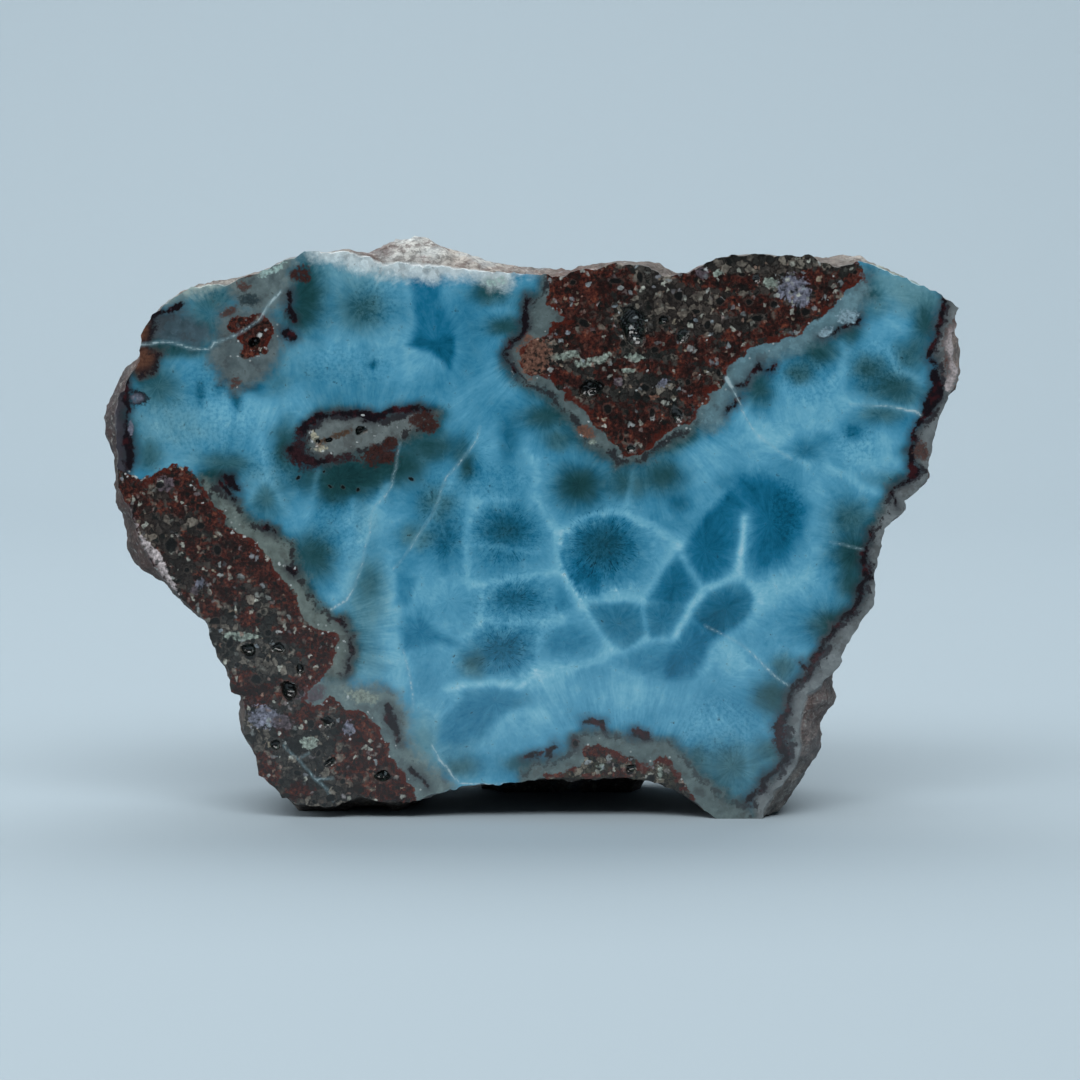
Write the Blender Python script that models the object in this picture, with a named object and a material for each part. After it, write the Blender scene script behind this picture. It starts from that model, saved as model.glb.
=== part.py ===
"""A thick larimar slab: one flat polished face, broken rough rock on every other side.

The slab stands on its lower edge. The polished face looks along -Y, +Z is up, and the origin is
at the middle of the slab's footprint, on the surface that it stands on.
"""

import math
import random

import bmesh
import bpy
from mathutils import Vector, noise
from mathutils.geometry import delaunay_2d_cdt

# Driving dimensions, in millimetres
width = 120.0              # left to right, over the widest place
depth = 38.0               # polished face to the back
outline_step = 1.6         # longest edge around the slab
back_step = 2.7            # spacing of the points on the back
back_scatter = 0.6         # each is moved off its place by up to this much
lump_size = 13.0           # the broken rock's large lumps
lump_relief = 3.2
knob_size = 5.0            # smaller knobs on the lumps
knob_relief = 1.3
facet_size = 8.0           # hollows left where pieces broke away
facet_relief = 1.4
mean_sink = 0.4            # the broken surface lies this far inside its sections on average
proud_most = 0.5           # and a lump stands this far past them at most
sharp_edge = 6.0           # the roughness fades in over this distance behind the polished face
dome_height = 4.6          # the back bulges this far past the last section
dome_reach = 18.0          # and is flat this far in from its edge
fracture_count = 26        # large breaks across the back and its edges
fracture_cut = (2.0, 6.5)
fracture_lean = (12.0, 75.0)    # degrees from straight across towards straight back
fracture_start = (6.0, 18.0)    # breaks fade in between these distances behind the face
underside_taper = 0.2      # the underside is pulled in by this share of what the sides are
underside_relief = 0.4     # and keeps this share of the roughness
grain_seed = 23
middle = Vector((0.0, 39.5))    # the directions of the sections are taken from here

# The polished face's edge, clockwise from the left: across, up
polished_outline = [
    (-58.2, 50), (-58, 53), (-58, 57), (-57.5, 60), (-56.5, 62.3), (-55, 64.5), (-54.8, 67),
    (-54.3, 69), (-53, 71), (-50.8, 73), (-47.5, 74.5), (-45.5, 75), (-42.5, 75), (-37, 77),
    (-34, 78.5), (-31.5, 79), (-27, 79), (-23, 78), (-21, 77), (-15, 77), (-7, 76.5), (-1, 76.3),
    (2, 76), (4, 76), (6.5, 77), (11.5, 77.5), (15.5, 77.5), (18, 76), (21, 76.3),
    (23, 77.5), (28, 78.9), (31.5, 79), (38, 78.5), (42.5, 77), (45, 78), (48, 77.3), (51, 76),
    (56.5, 73.8), (59, 72), (58.5, 70), (57.5, 68.5), (57.5, 64.5), (58, 63.5), (57, 58.5),
    (55.3, 51), (54.3, 47.2), (52, 44.3), (49, 41), (48, 37), (47, 30), (43, 23.5), (40, 19),
    (38, 17.5), (37, 13.5), (36.5, 8), (34, 5), (32.5, 2.5), (31.5, 0.5), (27, 0.6), (22, 3),
    (18, 5), (13.5, 5.8), (1, 5.6), (-5, 5), (-10.5, 4.5), (-16.5, 2.7), (-21.5, 2.3),
    (-24.5, 3.4), (-28, 1.8), (-33.5, 2), (-36.5, 4.5), (-38.5, 6.5), (-39.5, 12.5), (-40, 15.5),
    (-40.5, 17.5), (-42.5, 18), (-42.5, 20.8), (-44.5, 23), (-45.2, 25.5), (-46, 28),
    (-49.5, 30.8), (-52, 35), (-54, 39), (-55.5, 42), (-57.8, 45.5),
]

# The slab's widest outline, a little behind the face, in the same order
belly_outline = [
    (-59.8, 52), (-61, 54.5), (-59.4, 59), (-58.2, 62), (-56.4, 64.5), (-55.8, 67), (-55.3, 69),
    (-53.8, 71.5), (-51, 73.2), (-47.5, 75), (-43, 75.5), (-37.5, 77.3), (-34, 78.5),
    (-31, 79.3), (-25, 80.2), (-19.5, 81.2), (-16.5, 81.2), (-10.5, 79), (-4, 77.5),
    (1.5, 76.5), (5, 76.5), (11, 77.6), (16.5, 77.6), (18.5, 76.5), (21.5, 76.2), (24, 77.3),
    (26.5, 78.4), (29.5, 79), (34.5, 78.5), (41, 79), (44, 78.8), (48.5, 77), (55, 74.6),
    (57, 74), (59.5, 72.5), (59.2, 70.5), (60.4, 68.5), (60.6, 66.5), (60.2, 64.5),
    (60.5, 63.5), (58.2, 58), (56.5, 53), (55.2, 47), (52.7, 45.5), (52.7, 44), (49.8, 41),
    (48.8, 38), (47.8, 30), (45, 26.5), (43, 23), (42.8, 19), (43.3, 17), (43, 15), (41.6, 14),
    (41, 10), (39, 6.5), (36.8, 3), (34, 1), (32, 0), (29, 0), (24.5, 1.4), (19, 4), (16.5, 5),
    (13.5, 5.5), (4, 5.4), (-5, 4.6), (-10.5, 4.1), (-13, 2.6), (-19.5, 1.4), (-23, 2.9),
    (-25, 2.9), (-29.5, 1.1), (-33.5, 1.5), (-37.8, 4.6), (-39.6, 6.5), (-42, 14.5), (-42, 17),
    (-43.3, 18), (-43.3, 20.5), (-45.7, 25.5), (-46.4, 28), (-50.7, 30.6), (-54.8, 33.4),
    (-55.8, 35), (-57.6, 40), (-58.8, 44.5), (-58.8, 50),
]

# The outline that the sections change to behind the belly, in the same order
back_outline = [
    (-57, 54), (-59, 62), (-52, 70), (-41, 74), (-33, 79), (-20, 78.5), (-11, 80), (3, 76),
    (15, 78), (27, 76), (40, 78), (52, 73), (57, 66), (54, 57), (57, 49), (50, 41), (51, 32),
    (44, 26), (43, 17), (37, 9), (33, 1), (22, 2), (8, 4), (-6, 4), (-20, 1), (-34, 2),
    (-41, 9), (-40, 19), (-49, 25), (-50, 34), (-56, 43),
]
back_change = (7.0, 25.0)    # the change starts and ends this far behind the face

# Sections: how far behind the face, share of the way out to the belly, pulled in towards the middle
sections = [
    (0.0, 0.00, 0.0),
    (0.9, 0.32, 0.0),
    (2.4, 0.66, 0.0),
    (4.4, 0.90, 0.0),
    (7.0, 1.00, 0.2),
    (10.0, 1.00, 0.8),
    (13.4, 1.00, 1.5),
    (16.8, 1.00, 2.3),
    (20.2, 1.00, 3.3),
    (23.6, 1.00, 4.6),
    (27.0, 1.00, 6.3),
    (30.2, 1.00, 8.6),
    (33.0, 1.00, 11.5),
]

# Lumps on the underside that carry the slab: across, behind the face, reach each way, drop
feet = [
    ("right tip", 30.0, 9.0, 7.0, 10.0, 2.6),
    ("left lobe", -27.0, 17.0, 11.0, 11.0, 5.5),
    ("back lump", 4.0, 29.0, 13.0, 7.0, 9.5),
]
foot_height = (7.0, 17.0)  # the drop fades out between these heights

# Open pits in the polished face: across, up, half width, half height, depth, turn in degrees
pits = [
    ("crystal hollow", 14.0, 69.2, 1.7, 2.9, 2.8, 12.0),
    ("dark hollow", 8.0, 60.5, 1.4, 1.0, 2.0, 10.0),
    ("knot pit", -38.9, 67.1, 1.0, 1.2, 2.0, 0.0),
    ("lens pit", -24.2, 54.9, 0.9, 0.7, 1.4, 20.0),
    ("upper gas hole", 18.0, 70.1, 0.9, 0.7, 1.2, 0.0),
    ("middle gas hole", -40.2, 24.0, 1.0, 1.0, 1.4, 0.0),
    ("lined gas hole", -34.4, 18.3, 1.2, 1.6, 1.8, 10.0),
    ("lower gas hole", -21.4, 6.1, 1.3, 0.8, 1.5, 10.0),
]
pit_sides = 12
pit_rings = 8

stone_colour = (0.115, 0.330, 0.450)
stone_roughness = 0.35


def clear_scene():
    for old in list(bpy.data.objects):
        bpy.data.objects.remove(old, do_unlink=True)


def new_collection(name):
    made = bpy.data.collections.new(name)
    bpy.context.scene.collection.children.link(made)
    return made


def stone_material():
    made = bpy.data.materials.new("larimar")
    made.use_nodes = True
    shader = made.node_tree.nodes["Principled BSDF"]
    shader.inputs["Base Color"].default_value = (*stone_colour, 1.0)
    shader.inputs["Roughness"].default_value = stone_roughness
    shader.inputs["Metallic"].default_value = 0.0
    return made


def smooth_step(low, high, value):
    share = min(max((value - low) / (high - low), 0.0), 1.0)
    return share * share * (3.0 - 2.0 * share)


def spaced_outline(outline, step):
    """The outline's own points, with more between them where two are further apart than step."""
    points = []
    for here, there in zip(outline, outline[1:] + outline[:1]):
        start, end = Vector(here), Vector(there)
        pieces = math.ceil((end - start).length / step)
        points += [start.lerp(end, k / pieces) for k in range(pieces)]
    return points


def crossing(direction, side_start, side_end):
    """How far out from the middle a direction crosses one side of an outline, or None."""
    side = side_end - side_start
    offset = side_start - middle
    size = direction.x * side.y - direction.y * side.x
    if abs(size) < 1e-9:
        return None
    out = (offset.x * side.y - offset.y * side.x) / size
    share = (offset.x * direction.y - offset.y * direction.x) / size
    return out if out > 0.0 and -1e-6 <= share <= 1.0 + 1e-6 else None


def reach(outline, direction):
    """Distance from the middle to the outline along a direction."""
    sides = zip(outline, outline[1:] + outline[:1])
    outs = [crossing(direction, Vector(start), Vector(end)) for start, end in sides]
    return max(out for out in outs if out is not None)


def broken_relief(point):
    """How far the broken surface sinks at a point."""
    lumps = lump_relief * noise.noise(point / lump_size) + mean_sink
    knobs = knob_relief * noise.noise(point / knob_size)
    distances, _ = noise.voronoi(point / facet_size)
    hollows = facet_relief * (distances[1] - distances[0])
    return max(lumps + knobs + hollows, -proud_most)


def section_point(direction, face_reach, belly_reach, back_reach, section):
    """A point of the loft: across, behind the face, up."""
    behind, share, pulled_in = section
    underside = max(-direction.y, 0.0)
    taper = pulled_in * (1.0 + (underside_taper - 1.0) * underside)
    roughness = smooth_step(0.0, sharp_edge, behind) * (1.0 + (underside_relief - 1.0) * underside)
    body_reach = belly_reach + (back_reach - belly_reach) * smooth_step(*back_change, behind)
    flat = middle + direction * (face_reach + (body_reach - face_reach) * share - taper)
    point = Vector((flat.x, behind, flat.y))
    return point - Vector((direction.x, 0.0, direction.y)) * broken_relief(point) * roughness


def loft_rings():
    edge = spaced_outline(polished_outline, outline_step)
    directions = [(point - middle).normalized() for point in edge]
    face_reaches = [(point - middle).length for point in edge]
    belly_reaches = [reach(belly_outline, direction) for direction in directions]
    back_reaches = [reach(back_outline, direction) for direction in directions]
    spokes = list(zip(directions, face_reaches, belly_reaches, back_reaches))
    return [[section_point(*spoke, section) for spoke in spokes] for section in sections]


def distance_to_ring(point, ring):
    """Distance from a point of the back to the last ring, seen from behind."""
    nearest = 1e9
    for here, there in zip(ring, ring[1:] + ring[:1]):
        start, end = Vector((here.x, here.z)), Vector((there.x, there.z))
        along = end - start
        share = min(max((point - start).dot(along) / along.length_squared, 0.0), 1.0)
        nearest = min(nearest, (start + along * share - point).length)
    return nearest


def inside_ring(point, ring):
    inside = False
    for here, there in zip(ring, ring[1:] + ring[:1]):
        if (here.z > point.y) != (there.z > point.y):
            side_x = here.x + (there.x - here.x) * (point.y - here.z) / (there.z - here.z)
            if point.x < side_x:
                inside = not inside
    return inside


def back_points(ring, scatter):
    """Scattered points inside the last ring, raised into the back's lumpy dome."""
    points = []
    row_height = back_step * math.sqrt(3.0) / 2.0
    low_x, high_x = min(p.x for p in ring), max(p.x for p in ring)
    low_z, high_z = min(p.z for p in ring), max(p.z for p in ring)
    for row in range(int((high_z - low_z) / row_height)):
        for column in range(int((high_x - low_x) / back_step)):
            across = low_x + (column + 0.5 * (row % 2)) * back_step
            flat = Vector((across, low_z + row * row_height))
            flat.x += scatter.uniform(-back_scatter, back_scatter)
            flat.y += scatter.uniform(-back_scatter, back_scatter)
            if not inside_ring(flat, ring):
                continue
            inset = distance_to_ring(flat, ring)
            if inset < 0.6 * back_step:
                continue
            rise = 1.0 - (1.0 - min(inset / dome_reach, 1.0)) ** 2
            behind = sections[-1][0] + dome_height * rise
            point = Vector((flat.x, behind, flat.y))
            point.y -= broken_relief(point) * rise ** 0.5
            points.append(point)
    return points


def fracture_planes(points, scatter):
    """Planes across the back and its edges: an outward normal, and how far out it lies."""
    planes = []
    for _ in range(fracture_count):
        turn = scatter.uniform(0.0, 2.0 * math.pi)
        lean = math.radians(scatter.uniform(*fracture_lean))
        normal = Vector((
            math.cos(turn) * math.cos(lean),
            math.sin(lean),
            abs(math.sin(turn)) * math.cos(lean),
        ))
        support = max(normal.dot(point) for point in points)
        planes.append((normal, support - scatter.uniform(*fracture_cut)))
    return planes


def break_off(point, planes):
    """Press a point that stands proud of a fracture back onto it."""
    for normal, offset in planes:
        proud = normal.dot(point) - offset
        if proud > 0.0:
            point = point - normal * proud * smooth_step(*fracture_start, point.y)
    return point


def press_feet(point):
    """Draw the underside down into its feet, and flatten them on the resting plane."""
    low = 1.0 - smooth_step(*foot_height, point.z)
    for _, across, behind, reach_x, reach_y, drop in feet:
        away = ((point.x - across) / reach_x) ** 4 + ((point.y - behind) / reach_y) ** 4
        point = point - Vector((0.0, 0.0, drop * low * math.exp(-away)))
    return Vector((point.x, point.y, max(point.z, 0.0)))


def fit_to_size(point, low, high):
    """Scale to the driving width and depth, with the origin under the middle, in metres."""
    scale = width / (high.x - low.x)
    return Vector((
        (point.x - (low.x + high.x) / 2.0) * scale,
        ((point.y - low.y) / (high.y - low.y) - 0.5) * depth,
        point.z * scale,
    )) / 1000.0


def slab_mesh():
    scatter = random.Random(grain_seed)
    rings = loft_rings()
    back = back_points(rings[-1], scatter)
    count = len(rings[0])
    points = [point for ring in rings for point in ring] + back
    planes = fracture_planes(points, scatter)
    points = [press_feet(break_off(point, planes)) for point in points]

    low = Vector([min(p[k] for p in points) for k in range(3)])
    high = Vector([max(p[k] for p in points) for k in range(3)])
    slab = bmesh.new()
    verts = [slab.verts.new(fit_to_size(point, low, high)) for point in points]

    slab.faces.new(verts[:count])
    last = (len(rings) - 1) * count
    for front in range(0, last, count):
        behind = front + count
        for i in range(count):
            j = (i + 1) % count
            slab.faces.new([verts[k] for k in (front + j, front + i, behind + i, behind + j)])

    flat = [Vector((point.x, point.z)) for point in points[last:]]
    _, _, triangles, origins, _, _ = delaunay_2d_cdt(flat, [], [list(range(count))], 1, 1e-6)
    for triangle in triangles:
        slab.faces.new([verts[last + origins[corner][0]] for corner in triangle])

    quads = [face for face in slab.faces if len(face.verts) == 4]
    bmesh.ops.triangulate(slab, faces=quads)
    bmesh.ops.recalc_face_normals(slab, faces=slab.faces)
    mesh = bpy.data.meshes.new("larimar_slab")
    slab.to_mesh(mesh)
    slab.free()
    return mesh, low, high


def pit_cutter(name, place, half_sizes, turn):
    """An ellipsoid centred on the polished face, which hollows out a pit."""
    ball = bmesh.new()
    bmesh.ops.create_uvsphere(ball, u_segments=pit_sides, v_segments=pit_rings, radius=1.0)
    bmesh.ops.scale(ball, vec=half_sizes, verts=ball.verts)
    mesh = bpy.data.meshes.new(name)
    ball.to_mesh(mesh)
    ball.free()
    cutter = bpy.data.objects.new(name, mesh)
    cutter.location = place
    cutter.rotation_euler.y = math.radians(turn)
    cutter.display_type = "WIRE"
    cutter.hide_render = True
    return cutter


def main():
    clear_scene()
    stone = new_collection("rough_larimar")
    cutters = new_collection("cutters")

    mesh, low, high = slab_mesh()
    slab = bpy.data.objects.new("larimar_slab", mesh)
    slab.data.materials.append(stone_material())
    stone.objects.link(slab)

    for name, across, up, half_width, half_height, pit_depth, turn in pits:
        place = fit_to_size(Vector((across, 0.0, up)), low, high)
        half_sizes = Vector((half_width, pit_depth, half_height)) / 1000.0
        cutters.objects.link(pit_cutter(name.replace(" ", "_"), place, half_sizes, turn))
    hollow = slab.modifiers.new("pits", "BOOLEAN")
    hollow.operation = "DIFFERENCE"
    hollow.operand_type = "COLLECTION"
    hollow.collection = cutters
    hollow.solver = "EXACT"


main()
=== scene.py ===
import bpy
import bmesh
import math
import numpy as np
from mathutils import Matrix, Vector, noise
from mathutils.geometry import delaunay_2d_cdt


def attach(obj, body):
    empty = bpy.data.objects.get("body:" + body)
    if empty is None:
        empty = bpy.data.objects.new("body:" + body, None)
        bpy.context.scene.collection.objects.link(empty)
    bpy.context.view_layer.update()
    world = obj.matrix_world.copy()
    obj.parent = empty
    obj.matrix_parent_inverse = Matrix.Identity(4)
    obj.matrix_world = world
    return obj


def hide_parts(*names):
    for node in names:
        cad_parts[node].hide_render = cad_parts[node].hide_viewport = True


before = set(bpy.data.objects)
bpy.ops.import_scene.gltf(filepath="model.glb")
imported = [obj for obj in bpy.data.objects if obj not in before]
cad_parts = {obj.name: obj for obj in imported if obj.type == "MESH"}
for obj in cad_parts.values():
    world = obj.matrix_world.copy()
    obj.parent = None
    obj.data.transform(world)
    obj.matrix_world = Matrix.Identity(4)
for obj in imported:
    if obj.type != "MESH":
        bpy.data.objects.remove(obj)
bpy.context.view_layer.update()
print("frame loaded")

# The pattern is laid out on the polished face in millimetres: across from the middle, up from the shelf.
sheet = {
    "scale": 1.0031,  # model millimetres to one sheet millimetre
    "shift": 0.622,  # the sheet's zero lies this far left of the model's middle
    "photoPixel": 0.14,  # sheet millimetres to one pixel of the photograph
    "photoSize": 1080,  # pixels across the photograph
}

stone = {
    "faceStep": 0.366,  # mm between points on the polished face
    "pitStep": 0.2,  # closer points in and around the pits
    "shellCuts": 2,  # each CAD edge of the rough sides is cut this many times
    "edgeChip": 0.38,  # mm of nibbling along the sawn edge
    "bulges": [  # across, up, size and how far the side stands out, mm
        (59.4, 66, 5, 0.8), (-60, 57, 5, 0.5), (59, 61.5, 2.6, 0.9), (59.4, 71.3, 1.2, -0.5),
        (54.9, 47.9, 1, 0.7), (52.6, 45.4, 1, -0.9), (52, 43, 1.4, 0.7), (47, 31, 3, 0.6),
        (41.6, 15.8, 2.8, 1.1), (42, 21.6, 1.8, 1.1), (39.4, 9.5, 3.2, 1.1), (-55.5, 37, 4, 1.3),
        (-40, 12.5, 3, 1.3),
    ],
    "nibbles": [(1, 3), (1, 1.1), (0.5, 0.45)],  # share and size in mm of the noises along the edge
    "lumps": [(0.5, 3.1), (0.3, 1.3), (0.16, 0.6)],  # depth and size of the broken relief, mm
    "grains": (0.35, 2.6),  # depth and size of the grains that stand out of it, mm
    "wrinkles": (0.3, 2.1),  # depth and size of its creases, mm
    "reliefStart": 1.5,  # mm behind the face over which the relief fades in
    "shelf": 2e-5,  # m, what lies lower stands on the shelf and stays flat
    "topRise": 0.7,  # mm added to the top
    "topFade": (72, 8),  # where that rise begins and how far up it takes to be full, mm
    "crest": (-18.5, 9, 0.9),  # across, half width and the further rise of the highest part, mm
    "hardEdge": 35,  # degrees, a sharper edge of the face stays hard
    "seed": 4,
}


def toSheet(point):
    return (point[0] * 1000 / sheet["scale"] - sheet["shift"], point[2] * 1000 / sheet["scale"])


def fromSheet(across, up):
    return ((across + sheet["shift"]) * sheet["scale"] / 1000, up * sheet["scale"] / 1000)


def linear(hexColour):
    parts = [int(hexColour[k:k + 2], 16) / 255 for k in (1, 3, 5)]
    return tuple(c / 12.92 if c <= 0.04045 else ((c + 0.055) / 1.055) ** 2.4 for c in parts) + (1.0,)


def ease(low, high, value):
    share = np.clip((value - low) / (high - low), 0, 1)
    return share * share * (3 - 2 * share)


# Distances on the sheet, for all points at once

def pathDistance(points, path):  # nearest distance to a path of (across, up, width), less half its width
    best = np.full(len(points), 1e9)
    for a, b in zip(path, path[1:]):
        start, along = np.array(a[:2], float), np.array(b[:2], float) - np.array(a[:2], float)
        share = np.clip(((points - start) @ along) / (along @ along), 0, 1)
        away = np.linalg.norm(points - start - share[:, None] * along, axis=1)
        best = np.minimum(best, away - (a[2] + (b[2] - a[2]) * share) / 2)
    return best


def outlineDistance(points, outline):  # positive inside a closed outline
    closed = [(x, z, 0) for x, z in outline] + [(*outline[0], 0)]
    inside = np.zeros(len(points), bool)
    for a, b in zip(closed, closed[1:]):
        if a[1] != b[1]:
            crosses = (a[1] > points[:, 1]) != (b[1] > points[:, 1])
            inside ^= crosses & (points[:, 0] < a[0] + (b[0] - a[0]) * (points[:, 1] - a[1]) / (b[1] - a[1]))
    away = pathDistance(points, closed)
    return np.where(inside, away, -away)


def spotDistance(points, spot):  # 0 at the middle of an ellipse, 1 on its edge
    x, z, rx, rz, turn = spot[:5]
    c, s = math.cos(math.radians(turn)), math.sin(math.radians(turn))
    dx, dz = points[:, 0] - x, points[:, 1] - z
    return np.hypot((dx * c + dz * s) / rx, (dz * c - dx * s) / rz)


def cloud(points, size, seed=0.0):  # smooth noise about 0, for rows of three values
    return np.array([noise.noise(Vector(p) / size + Vector((seed, seed, seed))) for p in points])


# What is drawn on the sheet, read from the photograph

rockAreas = {
    "upper": [
        (2, 79), (1.8, 76), (2.3, 74), (1.3, 72.8), (2.5, 72), (3.5, 70.8), (4.3, 70.3), (2.8, 70),
        (1.9, 69), (1.7, 68.2), (0.5, 67.8), (-1, 66.8), (-2, 65.5), (-1.8, 64), (-0.5, 62.6), (1, 62.2),
        (2.5, 62), (3, 61), (4.2, 60.3), (4.3, 59), (5.8, 58.8), (6.8, 57.8), (8, 56.3), (8.8, 54.8),
        (10, 54.2), (11, 53), (11.8, 52), (12, 51), (13.5, 51.3), (15, 51.5), (16.5, 52.3), (17.5, 53.5),
        (19.5, 55), (21, 55.8), (22.2, 56), (23, 57.5), (24, 58.6), (24.5, 60), (25.8, 60.5), (26.6, 62),
        (26.8, 63.8), (28, 64.5), (29.5, 65.4), (30, 66.5), (32.5, 66.9), (34, 67.4), (36, 67.8),
        (37.5, 68.6), (38.8, 69.8), (40, 70.8), (41.5, 72), (43, 73.5), (44.5, 75), (46.2, 76),
        (45.6, 77), (44, 82), (10, 84),
    ],
    "lower": [
        (-63, 50), (-58.5, 49.3), (-57, 48.6), (-55, 48.2), (-53.2, 48.5), (-52.3, 49.3), (-51, 50),
        (-49.8, 50.3), (-48, 49.2), (-46.8, 47.6), (-46, 46.2), (-44.8, 44.8), (-43.6, 43.2),
        (-42.6, 41.4), (-41, 40.3), (-39.7, 40), (-38.8, 38.8), (-37.6, 37.5), (-36.5, 35.8), (-35.3, 34),
        (-34, 32.8), (-33.2, 31.5), (-33, 30), (-32.3, 28.5), (-31, 27.3), (-29.5, 26.8), (-28.3, 26.5),
        (-27.4, 26), (-27.2, 25), (-28, 23.5), (-28.3, 21.5), (-29.5, 20), (-30.7, 19.2), (-31.7, 18),
        (-32, 16.8), (-31, 16.2), (-28.8, 17.4), (-27.2, 16.6), (-26.5, 15.5), (-25, 15.3), (-23.8, 15),
        (-22.5, 13.8), (-21.5, 12), (-20.4, 10.5), (-20.3, 9), (-19, 7), (-18, 5.8), (-17, 5),
        (-16.6, 3.8), (-16.6, -2), (-64, -2),
    ],
    "under": [
        (1, 3), (1.2, 6.4), (1.6, 6.9), (2.5, 6.4), (4.4, 6.9), (5.3, 7.4), (6.4, 7.3), (7, 8),
        (6.8, 9.8), (7.5, 10.5), (9, 10.5), (10, 10.1), (11.3, 9.8), (12.3, 8.8), (13.5, 9), (14.4, 8.5),
        (15, 7.6), (15.8, 7.6), (16.8, 8.3), (17.5, 8.8), (18.5, 8.7), (19.5, 8.3), (19.6, 7.4),
        (20.5, 6.4), (21.4, 4.8), (22.6, 2.5), (22, 0), (10, 1),
    ],
    "knot": [
        (-42.6, 70.6), (-41.3, 71), (-39.5, 70.9), (-37.8, 71.3), (-36.8, 70.4), (-36.4, 69),
        (-36.8, 67.2), (-37.6, 65.8), (-39.3, 65.2), (-40.6, 65), (-41.4, 65.6), (-40.8, 67),
        (-41.5, 68.2), (-42.8, 69.2),
    ],
}

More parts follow.
